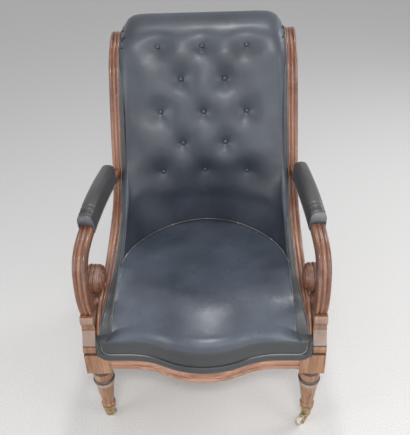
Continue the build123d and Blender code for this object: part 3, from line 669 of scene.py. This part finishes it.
def arm_line():
    """The bow's line, from its toe on the cap to the end of the arm."""
    first = arc_points(arm_toe, arm_bulge, arm_rest[0], 16)
    (ox, oy), r = circle_of(arm_toe, arm_bulge, arm_rest[0])
    end = arm_rest[0]
    rx, ry = (end[0] - ox) / r, (end[1] - oy) / r
    rest = tangent_arcs(end, (ry, -rx), arm_rest[1:] + [(arm_reach, arm_height)], 5.0)
    return first + rest


arm_points = arm_line()
arm_outline = reeds(arm_width, arm_depth, 3.4)


def joined(*parts):
    """Several (vertices, faces) or (vertices, faces, grain) as one mesh."""
    verts, faces, grain = [], [], []
    for part in parts:
        base = len(verts)
        verts += part[0]
        faces += [tuple(i + base for i in face) for face in part[1]]
        grain += part[2] if len(part) > 2 else []
    return verts, faces, grain


def turned(centre, outline, place, count=72):
    """A solid turned about an inward axis: outline holds (offset inward, radius) pairs."""
    verts, grain = [], []
    for i in range(count):
        a = 2 * pi * i / count
        for inward, radius in outline:
            verts.append(place(centre[0] + radius * cos(a), centre[1] + radius * sin(a), inward))
            grain.append((a * max(radius, 8.0) * MM, inward * MM, radius * MM))
    faces = grid_faces(count, len(outline), close_rows=True)
    last = len(outline)
    faces.append(tuple(i * last for i in reversed(range(count))))
    faces.append(tuple(i * last + last - 1 for i in range(count)))
    return verts, faces, grain


def scroll_outline():
    """The scroll's section: ringed outer face, reeded rim, ringed inner face."""
    half = arm_width / 2
    face = [(1.5, 3.0), (1.2, 7.0), (-0.6, 10.5), (-0.9, 12.5), (-0.2, 15.0), (0.2, 20.0),
            (-0.4, 24.0), (-1.6, 26.0), (-1.6, 28.0), (-0.3, 30.0), (0.0, 33.0), (-1.2, 36.0)]
    rim = [(across * 0.97, volute_radius - depth)
           for across, depth in arm_outline[:reed_count * reed_points]]
    outer = [(-half - out, radius) for out, radius in face]
    inner = [(half + out, radius) for out, radius in reversed(face)]
    return outer + rim + inner


def tail_part():
    """The neck that runs from the bow's foot along the bracket to the scroll."""
    lower = line_points((9.0, cap_top + 0.4), (86.0, cap_top + 0.4), 15)
    upper = arc_points((9.0, cap_top + 14.0), (30.0, cap_top + 3.6), (66.0, cap_top + 7.0), 15)
    half = arm_width / 2 - 1.0
    verts, grain = [], []
    for (ly, lz), (uy, uz) in zip(lower, upper):
        for y, z, across in ((ly, lz, -half), (ly, lz, half), (uy, uz, half), (uy, uz, -half)):
            verts.append(arm_place(y, z, across))
            grain.append((y * MM, across * MM, z * MM))
    return verts, tube_faces(len(lower), 4), grain


bow = swept(arm_points, arm_place, lambda s, y: arm_outline, seed=3.0)
scroll = turned(volute, scroll_outline(), arm_place)
pair_of_pieces("arm_wood", joined(bow, scroll, tail_part()), "mahogany", "mahogany",
               stands_for=["arm"])

boss_outline = [(15.0, 34.5), (18.5, 35.2), (20.2, 33.6), (20.0, 31.6), (17.4, 30.6), (17.4, 29.2),
                (22.5, 28.2), (25.2, 26.0), (26.0, 23.0), (24.6, 20.6), (22.0, 19.6), (22.0, 18.2),
                (25.2, 16.2), (27.6, 12.0), (28.2, 7.0), (28.3, 2.0)]
pair_of_pieces("boss_wood", turned(volute, boss_outline, arm_place, count=64), "mahogany",
               "mahogany", stands_for=["arm_boss"])


# Seat leather

border_ends, border_middle, shoulder_x = 34.0, 78.0, 190.0
border_top, border_corner_top = 344.0, 338.0
seam_half, seam_run, seam_start = 228.0, 264.0, 160.0
seam_z, seam_side_z = 405.0, 431.0
half_seat = 241.4
lower_sweep = [p for p in frame_line if p[1] < 700.0]


def serpentine_y(x):
    """Depth of the border's face at one place across."""
    run, rise = shoulder_x / 2, (border_middle - border_ends) / 2
    radius = (run**2 + rise**2) / (2 * rise)
    if abs(x) >= shoulder_x:
        return -border_ends
    if abs(x) > run:
        return -(border_ends + radius - sqrt(radius**2 - (shoulder_x - abs(x)) ** 2))
    return -(border_middle - radius + sqrt(radius**2 - x**2))


def corner_drop(share):
    """Height of the border's top against its middle: it falls towards the corners."""
    return (border_corner_top - border_top) * share**2


def frame_height_at(y):
    """Height of the frame's top face at one depth, on the lower sweep."""
    return along(lower_sweep, y)


def seam_depth(x):
    """Depth of the seam between seat and back: half an ellipse in plan."""
    return seam_start + seam_run * sqrt(max(0.0, 1 - (x / seam_half) ** 2))


def seam_turn(x):
    """How far the seam has come forward at one place across: 0 in the middle, 1 at the side."""
    return 1 - (seam_depth(x) - seam_start) / seam_run


def seam_height(x):
    return seam_z + (seam_side_z - seam_z) * seam_turn(x) ** 3


def smooth(t):
    """An eased step from 0 to 1, for a number or an array."""
    t = np.minimum(1.0, np.maximum(0.0, t))
    return t * t * (3 - 2 * t)


def crowded_shares(count):
    """Shares of the half width from -1 to 1, closer together towards the sides."""
    return [sin(pi / 2 * (-1 + 2 * i / (count - 1))) for i in range(count)]


seat_cols, seat_rows, row_crowding = 141, 111, 0.8
seat_proud, tuck = 1.5, 6.0
nose_reach, nose_rise, nose_slimming, nose_slim_from = 24.0, 23.0, 0.4, 0.7
slope_reach, slope_rise = 150.0, 34.0
dome_rise, dome_front, dome_rear = 9.0, 150.0, 130.0
side_sink, side_power = 5.0, 6.5


def quarter(t):
    """Rise of a quarter round at a share of its reach."""
    return sqrt(1 - (1 - min(1.0, max(0.0, t))) ** 2)


def seat_front(x):
    return serpentine_y(x) - seat_proud


def seat_height(share, y):
    """Height of the seat leather at one share of the half width and one depth."""
    x = share * half_seat
    front_y, back_y = seat_front(x), seam_depth(x)
    ahead = max(0.0, y - front_y)
    edge_z = border_top + corner_drop(share)
    nose_size = 1 - nose_slimming * min(1.0, abs(share) / nose_slim_from) ** 2
    crest = edge_z + nose_rise * nose_size
    full = border_top + nose_rise + slope_rise
    z = edge_z + nose_rise * nose_size * quarter(ahead / (nose_reach * nose_size))
    z += (full - crest) * (1 - max(0.0, 1 - ahead / slope_reach) ** 2)
    rear = smooth((ahead - slope_reach / 2) / (back_y - front_y - slope_reach / 2))
    z += (seam_height(x) - full) * rear
    z += (dome_rise * smooth(ahead / dome_front) * smooth((back_y - y) / dome_rear)
          * (1 - share**2))
    side_z = max(edge_z, frame_height_at(min(y, seam_start)) - side_sink)
    weight = abs(share) ** side_power
    return z * (1 - weight) + side_z * weight


def seat_surface():
    """The seat leather from the seam, where it is tucked in, forward to its nose."""
    verts = []
    for j in range(seat_rows):
        t = (j / (seat_rows - 1)) ** row_crowding
        for share in crowded_shares(seat_cols):
            x_far = share * half_seat
            back_y = seam_depth(x_far)
            y = back_y + (seat_front(x_far) - back_y) * t
            z = seat_height(share, y)
            if j == 0:
                y, z = y + tuck, z - tuck
            verts.append(place_at(share * narrowed(half_seat, y), y, z))
    return verts


# The seat's leather is the hide painted lighter, standing in for the light on the seat
seat = mesh_piece("seat_leather", seat_surface(), grid_faces(seat_rows, seat_cols), "leather_seat_painted_light",
                  "leather")
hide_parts("seat_cushion")


# Border under the seat's front edge, its rolled edge and its pale line

border_half, border_cols = 270.5, 151
# The border's face from below, as (behind the serpentine, height)
border_rows = [(0.0, 284.0), (-1.0, 292.0), (-1.9, 306.0), (-2.1, 320.0), (-1.4, 332.0),
               (0.2, 338.5), (2.6, 341.6), (7.0, 343.0), (12.5, 344.2), (24.0, 346.0)]
drop_above, pinch_above, pinch_from, pinch = 325.0, 335.0, 0.955, 2.5
band_low, band_side, band_corner, band_end = 283.8, 264.0, 20.0, 336.0
side_slimming, taper_steps = 0.35, 7.0


def border_surface():
    """The border's stuffed face, with its two upper corners pinched down."""
    verts = []
    for back, z in border_rows:
        for i in range(border_cols):
            share = -1 + 2 * i / (border_cols - 1)
            x = share * border_half
            drop = corner_drop(share) if z > drop_above else 0.0
            if z > pinch_above:
                drop -= pinch * smooth((abs(share) - pinch_from) / (1 - pinch_from))
            verts.append(place_at(x, serpentine_y(x) + back, z + drop))
    return verts, flipped(grid_faces(len(border_rows), border_cols))


def band_route(inset, side_inset):
    """Route of the rolled edge in the front view: up one side, along the foot, up the other."""
    side, low, corner = band_side - side_inset, band_low + inset, band_corner
    left = line_points((-side, band_end), (-side, low + corner), 10)
    turn = [(-side + corner - corner * cos(a), low + corner - corner * sin(a))
            for a in (pi / 2 * k / 8 for k in range(8))]
    foot = line_points((-side + corner, low), (side - corner, low), 120)
    return left + turn + foot + [(-x, z) for x, z in reversed(left + turn + foot[:1])]


def band_tube(route, width, proud, stand, sides=12):
    """A half-round strip along a front-view route, on the border's face, with tapered ends."""
    verts = []
    for k, ((x, z), (nx, nz)) in enumerate(zip(route, normals_of(route))):
        taper = sqrt(min(1.0, (min(k, len(route) - 1 - k) + 0.4) / taper_steps))
        slim = width * (1 - side_slimming * abs(nx)) * taper
        for i in range(sides):
            turn = 2 * pi * i / sides
            over, out = cos(turn) * slim / 2, sin(turn) * proud
            px = x - nx * over
            verts.append(place_at(px, serpentine_y(px) - stand - out, z - nz * over))
    return verts, tube_faces(len(route), sides)


mesh_piece("seat_border", *border_surface(), "leather_border", "leather")
rolled_edge = mesh_piece("seat_rolled_edge", *band_tube(band_route(0.0, 0.0), 21.5, 4.4, 0.5),
                         "leather_border", "leather_trim")
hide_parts("seat_welt")
mesh_piece("border_line", *band_tube(band_route(11.6, 8.0), 2.4, 1.3, 2.2, sides=8), "line_thread",
           "leather_trim")


# Back leather

half_back = 241.0
back_profile = {
    "low": ((420.0, 500.0), (277.0, 485.0)),
    "waist": ((390.0, 600.0), (375.0, 600.0)),
    "mid": ((421.0, 740.0), (429.0, 740.0)),
    "shoulder": ((457.0, 860.0), (470.0, 860.0)),
    "roll_front": ((490.0, 938.0), (502.0, 903.0)),
    "roll_top": ((575.0, 981.0), (564.0, 918.0)),
    "roll_rear": ((634.0, 955.0), (616.0, 908.0)),
    "roll_end": ((654.0, 905.0), (634.0, 884.0)),
}
roll_under, rear_top = (590.0, 856.0), (506.0, 846.0)
button_pitch, row_pitch, top_row = 120.0, 84.0, 917.0
button_places = [(place * button_pitch, top_row - row * row_pitch) for row in range(5)
                 for place in ((-1, 0, 1) if row % 2 == 0 else (-0.5, 0.5))]


def between(name, weight):
    """A point of the back's profile, from its middle towards its side."""
    middle, side = back_profile[name]
    return tuple(m + (e - m) * weight for m, e in zip(middle, side))


def back_outline(share):
    """Side-view points of the back leather from the seam over the roll to its rear edge."""
    x = share * half_seat
    flare, round_off = share**2, abs(share) ** 16
    seam = (seam_depth(x) + 1.0, seam_height(x) - tuck)
    waist, shoulder = between("waist", flare), between("shoulder", flare)
    top, end = between("roll_top", round_off), between("roll_end", round_off)
    return (arc_points(seam, between("low", seam_turn(x)), waist, 34)
            + arc_points(waist, between("mid", flare), shoulder, 50)
            + arc_points(shoulder, between("roll_front", round_off), top, 30)
            + arc_points(top, between("roll_rear", round_off), end, 16)
            + arc_points(end, roll_under, rear_top, 16) + [rear_top])


back_cols, back_reach = 161, half_back + 0.4
edge_from, edge_fall, low_fall, wing_fall = 212.0, 9.0, -5.0, 9.0
roll_from, roll_draw = 850.0, 1.5
easing, long_easing, eased_rows = 8, 70, 92


def fall_at(y, z):
    """How far the leather's edge falls back beside the binding: less low down, more at the wings."""
    wing = smooth((z - 690.0) / 90.0) * smooth((935.0 - z) / 30.0) * smooth((540.0 - y) / 30.0)
    return edge_fall + low_fall * smooth((640.0 - z) / 80.0) + wing_fall * wing


def back_surface():
    """The back leather before its buttons, as a grid of places: rows go up, columns across."""
    columns = []
    for share in crowded_shares(back_cols):
        beyond = max(0.0, abs(share) * half_back - edge_from) / (half_back - edge_from)
        sink = 1 - sqrt(max(0.0, 1 - beyond**2))
        columns.append([(share * (narrowed(back_reach, y)
                                  - roll_draw * smooth((z - roll_from) / 50.0)),
                         y + sink * fall_at(y, z), z) for y, z in back_outline(share)])
    grid = np.array(columns).transpose(1, 0, 2)
    for last, rounds in ((eased_rows, long_easing), (len(grid), easing)):
        for _ in range(rounds):
            part = grid[:last, :, 1:]
            part[1:-1] = (part[:-2] + 2 * part[1:-1] + part[2:]) / 4
    return grid


def grid_normals(grid):
    n = np.cross(np.gradient(grid, axis=0), np.gradient(grid, axis=1))
    return n / np.maximum(1e-9, np.linalg.norm(n, axis=2, keepdims=True))


# Depth and width of a button's own dimple, of the hollow around it and of a fold between two
dimple, hollow, fold = (2.4, 11.0), (14.5, 46.0), (1.6, 17.0)
swollen = 5.0


def dent(shape, squared):
    """Depth of a dent at a squared distance from its middle."""
    deep, wide = shape
    return deep * np.exp(-squared / wide**2)


def tuft_depth(x, z):
    """How far the leather is pulled in at each place, by the buttons and the folds between them."""
    depth = np.zeros_like(x)
    for bx, bz in button_places:
        d2 = (x - bx) ** 2 + (z - bz) ** 2
        depth += dent(dimple, d2) + dent(hollow, d2) * smooth((966.0 - z) / 52.0)
    for i, (ax, az) in enumerate(button_places):
        for bx, bz in button_places[i + 1:]:
            dx, dz = bx - ax, bz - az
            if (abs(dx), abs(dz)) != (button_pitch / 2, row_pitch):
                continue
            t = np.clip(((x - ax) * dx + (z - az) * dz) / (dx * dx + dz * dz), 0, 1)
            off2 = (x - ax - t * dx) ** 2 + (z - az - t * dz) ** 2
            depth += dent(fold, off2) * (0.35 + 0.65 * (2 * t - 1) ** 2)
    return depth


def unevenness(x, z):
    """Slow swells of old stuffing, on the flat of the back below the roll."""
    swells = (1.9 * np.sin(x / 41.0 + z / 57.0) * np.sin(z / 33.0 - x / 71.0)
              + 0.8 * np.sin(x / 19.0 - z / 27.0 + 1.3) * np.sin(z / 23.0 + x / 37.0))
    return swells * smooth((225.0 - np.abs(x)) / 40.0) * smooth((930.0 - z) / 40.0)


def corner_pleats(x, z):
    """Short folds where the leather is gathered at the roll's two ends."""
    reach_x, reach_z = (np.abs(x) - 190.0) / 36.0, (z - 905.0) / 60.0
    inside = np.clip(reach_x, 0, 1) ** 2 * np.clip(reach_z, 0, 1)
    turn = np.arctan2(z - 900.0, np.abs(x) - 170.0)
    return 2.6 * inside * np.sin(turn * 26.0)


back_grid = back_surface()
back_x, back_y, back_z = (back_grid[:, :, i] for i in range(3))
inward = grid_normals(back_grid)
inward *= np.sign(inward[:, :, 1].mean())
on_front = smooth((600.0 - back_y) / 30.0) * smooth((back_z - 480.0) / 60.0)
pull = tuft_depth(back_x, back_z) - swollen + unevenness(back_x, back_z)
pull = pull * on_front + corner_pleats(back_x, back_z)
back_grid = back_grid + inward * pull[:, :, None]
back_verts = [place_at(x, y, z) for x, y, z in back_grid.reshape(-1, 3)]
back = mesh_piece("back_leather", back_verts, grid_faces(len(back_grid), back_cols), "leather_hide",
                  "leather")
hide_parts("back_cushion")


# Seam between seat and back: a pale stitched line with a few knots

def across_of(direction):
    """Two directions at right angles to one, the first of them level."""
    side = direction.cross(Vector((0, 0, 1))).normalized()
    return side, side.cross(direction)


def round_tube(points, radius, sides=8, bulge=None):
    """A round cord through places in metres, thicker where bulge says."""
    verts = []
    for k, (p, a, b) in enumerate(zip(points, points[:1] + points, points[1:] + points[-1:])):
        side, up = across_of((b - a).normalized())
        r = radius * (bulge(k / (len(points) - 1)) if bulge else 1.0)
        for i in range(sides):
            turn = 2 * pi * i / sides
            verts.append(p + (side * cos(turn) + up * sin(turn)) * r)
    return verts, tube_faces(len(points), sides)


knot_shares, knot_size, knot_width = (0.02, 0.13, 0.31, 0.50, 0.67, 0.88, 0.97), 1.5, 0.006


def seam_bulge(t):
    return 1.0 + sum(knot_size * np.exp(-((t - k) / knot_width) ** 2) for k in knot_shares)


def seam_route():
    out = []
    for share in crowded_shares(241):
        if abs(share) * half_seat <= seam_half:
            y = seam_depth(share * half_seat) - 1.4
            out.append(place_at(share * narrowed(half_seat, y), y, seat_height(share, y) + 0.7))
    return out


mesh_piece("seat_back_seam", *round_tube(seam_route(), 0.0010, bulge=seam_bulge), "dull_thread",
           "leather_trim")


# Buttons: leather-covered domes in their dimples

front_until = 600.0
button_sides, button_stand = 28, 0.6
button_dome = [(0.0, 4.2), (2.2, 4.0), (4.2, 3.2), (5.7, 1.9), (6.5, 0.2), (6.6, -1.6), (5.6, -2.8)]


def back_spot(x, z):
    """The place on the back's front at (x, z), in millimetres, and the way out of it."""
    off = (back_grid[:, :, 0] - x) ** 2 + (back_grid[:, :, 2] - z) ** 2
    near = np.where(back_grid[:, :, 1] > front_until, np.inf, off).argmin()
    i, j = divmod(int(near), back_cols)
    spot = back_grid[i - 2:i + 3, j - 2:j + 3].reshape(-1, 3).mean(axis=0)
    return Vector((spot[0], spot[1] + leg_axis_y, spot[2])), -Vector(inward[i, j])


def button_mesh():
    verts, faces = [], []
    count = button_sides
    for x, z in button_places:
        spot, out = back_spot(x, z)
        side, up = across_of(out)
        centre = Vector((x, spot.y, z)) + out * button_stand
        base = len(verts)
        for radius, height in button_dome[1:]:
            for i in range(count):
                a = 2 * pi * i / count
                verts.append((centre + (side * cos(a) + up * sin(a)) * radius + out * height) * MM)
        top = len(verts)
        verts.append((centre + out * button_dome[0][1]) * MM)
        faces += grid_faces(len(button_dome) - 1, count, close_cols=True, first=base)
        faces += [(top, base + (i + 1) % count, base + i) for i in range(count)]
    return verts, faces


buttons = mesh_piece("back_buttons_leather", *button_mesh(), "leather_hide", "leather")
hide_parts("back_buttons")


# Black stitches where the leather is gathered at the roll's two upper corners

stitch_ends = (((-230.0, 936.0), (-208.0, 958.0)), ((-232.0, 922.0), (-206.0, 942.0)),
               ((-233.0, 908.0), (-216.0, 917.0)), ((-226.0, 954.0), (-216.0, 930.0)),
               ((230.0, 950.0), (217.0, 930.0)), ((232.0, 934.0), (217.0, 948.0)))
stitch_stand, stitch_radius, stitch_steps = 1.4, 0.0021, 6


def stitch(start, end):
    """A thread that follows the leather between two places in the front view."""
    places = []
    for k in range(stitch_steps + 1):
        spot, out = back_spot(*(a + (b - a) * k / stitch_steps for a, b in zip(start, end)))
        places.append((spot + out * stitch_stand) * MM)
    return round_tube(places, stitch_radius, sides=6)


stitches = joined(*[stitch(a, b) for a, b in stitch_ends])
mesh_piece("corner_stitches", *stitches[:2], "black_thread", "leather_trim")


# Arm pads

pad_from, pad_above, pad_to, pad_drop = 92.0, 560.0, 324.0, 22.0
pad_index = next(i for i, p in enumerate(arm_points) if p[0] > pad_from and p[1] > pad_above)
pad_normal = normals_of(arm_points)[pad_index]
pad_line = [p for p in tangent_arcs(arm_points[pad_index], (-pad_normal[1], pad_normal[0]),
                                    [(arm_reach, arm_height)], 2.5) if p[0] <= pad_to]
pad_bed = [(16.6, 2.0), (16.6, -0.4), (-16.6, -0.4), (-16.6, 2.0)]
# Half the pad's section: its side as shares of the drop where the depth is above 0, then its top
pad_shape = [(-16.9, 1.0), (-17.6, 1.04), (-19.0, 0.96), (-19.4, 0.6), (-19.3, 0.1), (-19.0, -12.0),
             (-18.2, -21.0), (-16.3, -27.0), (-12.6, -30.8), (-7.0, -32.9), (0.0, -33.6)]
# Folds over the front end, as (place along the pad, depth, width)
pleats = ((8.5, 3.6, 1.7), (15.0, 2.2, 1.5), (19.5, 2.6, 1.6), (25.0, 1.8, 2.0), (36.0, 0.9, 4.0))
nose_length = 15.0
swell_rise, swell_at, swell_width = 1.2, 75.0, 60.0


def pad_outline(s, y):
    """The pad's section: rounded off at the front end, gathered in folds, swollen behind."""
    nose = sqrt(max(0.0, 1 - max(0.0, 1 - s / nose_length) ** 2))
    gather = sum(dent((deep, wide), (s - at) ** 2) for at, deep, wide in pleats)
    swell = dent((swell_rise, swell_width), (s - swell_at) ** 2)
    half = []
    for across, depth in pad_shape:
        if depth > 0:
            half.append((across - 0.06 * gather, depth * pad_drop * (0.92 + 0.08 * nose)))
        else:
            scale = (0.62 + 0.38 * nose) * (1 - 0.055 * gather * min(1.0, -depth / 20.0))
            half.append((across * (1 - 0.02 * gather),
                         depth * scale - swell * min(1.0, -depth / 25.0)))
    return half + [(-across, depth) for across, depth in reversed(half[:-1])] + pad_bed


for pad in pair_of_pieces("arm_pad_leather", swept(pad_line, arm_place, pad_outline), "leather_pad",
                          "leather", stands_for=["arm_pad"]):
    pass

cord_aside, cord_below, pad_cord_radius = 18.6, pad_drop + 0.6, 0.0012


def pad_cord(across):
    return [arm_place(y + ny * cord_below, z + nz * cord_below, across)
            for (y, z), (ny, nz) in zip(pad_line, normals_of(pad_line))]


pad_cords = joined(*[round_tube(pad_cord(across), pad_cord_radius)
                     for across in (-cord_aside, cord_aside)])
pair_of_pieces("arm_pad_cord", pad_cords, "pale_thread", "leather_trim")

# Pale hem around the pad's front end: starts ahead of the pad and stands a little over it
hem_ahead, hem_from, hem_size = 0.6, 3.5, 1.015
hem_start = tuple(a - hem_ahead * (b - a) for a, b in zip(pad_line[0], pad_line[1]))
hem = swept([hem_start] + pad_line[:3], arm_place,
            lambda s, y: [(across * hem_size, depth * hem_size)
                          for across, depth in pad_outline(hem_from + s / 3, y)])
pair_of_pieces("arm_pad_hem", hem, "leather_hem", "leather_trim")


# Outside covers

cover_cols, cover_rows = 60, 24
cover_front, cover_rear, cover_top_rear, cover_foot = 32.3, 398.0, 350.0, 288.6
cover_across, cover_bulge, cover_thickness = -9.0, 5.0, 2.5
rear_cols, rear_swell, rear_stand, rear_thickness = 61, 4.0, 1.2, 2.0


def side_panel():
    """A stuffed panel from the rail up to the underside of the side frame."""
    verts = []
    for j in range(cover_rows):
        t = j / (cover_rows - 1)
        for i in range(cover_cols):
            u = i / (cover_cols - 1)
            y_low = cover_front + (cover_rear - cover_front) * u
            y_high = cover_front + (cover_top_rear - cover_front) * u
            slope = (frame_height_at(y_high + 4) - frame_height_at(y_high - 4)) / 8
            z_high = frame_height_at(y_high) - (frame_depth - 1.0) * sqrt(1 + slope**2)
            swell = cover_bulge * sqrt(16 * u * (1 - u) * t * (1 - t))
            verts.append(frame_place(y_low + (y_high - y_low) * t,
                                     cover_foot + (z_high - cover_foot) * t,
                                     cover_across - swell))
    return verts, flipped(grid_faces(cover_rows, cover_cols))


def rear_panel():
    """The leather over the outside of the back, from under the roll down to the rail."""
    line = (arc_points((506.0, 845.0), (463.0, 720.0), (442.0, 600.0), 30)
            + line_points((442.0, 600.0), (450.0, 405.0), 14)
            + line_points((450.0, 405.0), (450.0, 222.0), 12) + [(450.0, 222.0)])
    verts = []
    for j, (y, z) in enumerate(line):
        t = j / (len(line) - 1)
        for i in range(rear_cols):
            share = -1 + 2 * i / (rear_cols - 1)
            swell = rear_swell * (1 - share**4) * min(1.0, 8 * t, 8 * (1 - t))
            x = share * narrowed(frame_inner_x - 0.6, y)
            verts.append(place_at(x, y + rear_stand + swell, z))
    return verts, grid_faces(len(line), rear_cols)


for panel in pair_of_pieces("side_cover_leather", (*side_panel(), None), "leather_hide", "leather",
                            stands_for=["side_cover"]):
    thicken(panel, cover_thickness)
back_panel = mesh_piece("back_cover_leather", *rear_panel(), "leather_hide", "leather")
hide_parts("back_cover")
thicken(back_panel, rear_thickness)


# Finishes of the solids that stay as they are

corners = ("front_left", "front_right", "rear_left", "rear_right")
finishes = {
    "leg_wood": ["front_leg_left", "front_leg_right"],
    "rail_wood": ["front_rail"],
    "upright_wood": ["rear_leg_left", "rear_leg_right"],
    "beech": ["rear_rail", "low_back_bar", "crest_rail", "corner_blocks"],
    "beech_deep": ["side_rail_left", "side_rail_right"],
    "jute": ["seat_webbing", "spring_canvas"],
    "steel": ["seat_springs"] + [f"axle_{c}" for c in corners],
    "brass": [f"socket_{c}" for c in corners] + [f"fork_{c}" for c in corners],
    "china": [f"wheel_{c}" for c in corners],
}
for material, names in finishes.items():
    for name in names:
        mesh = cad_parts[name].data
        mesh.materials.clear()
        mesh.materials.append(materials[material])
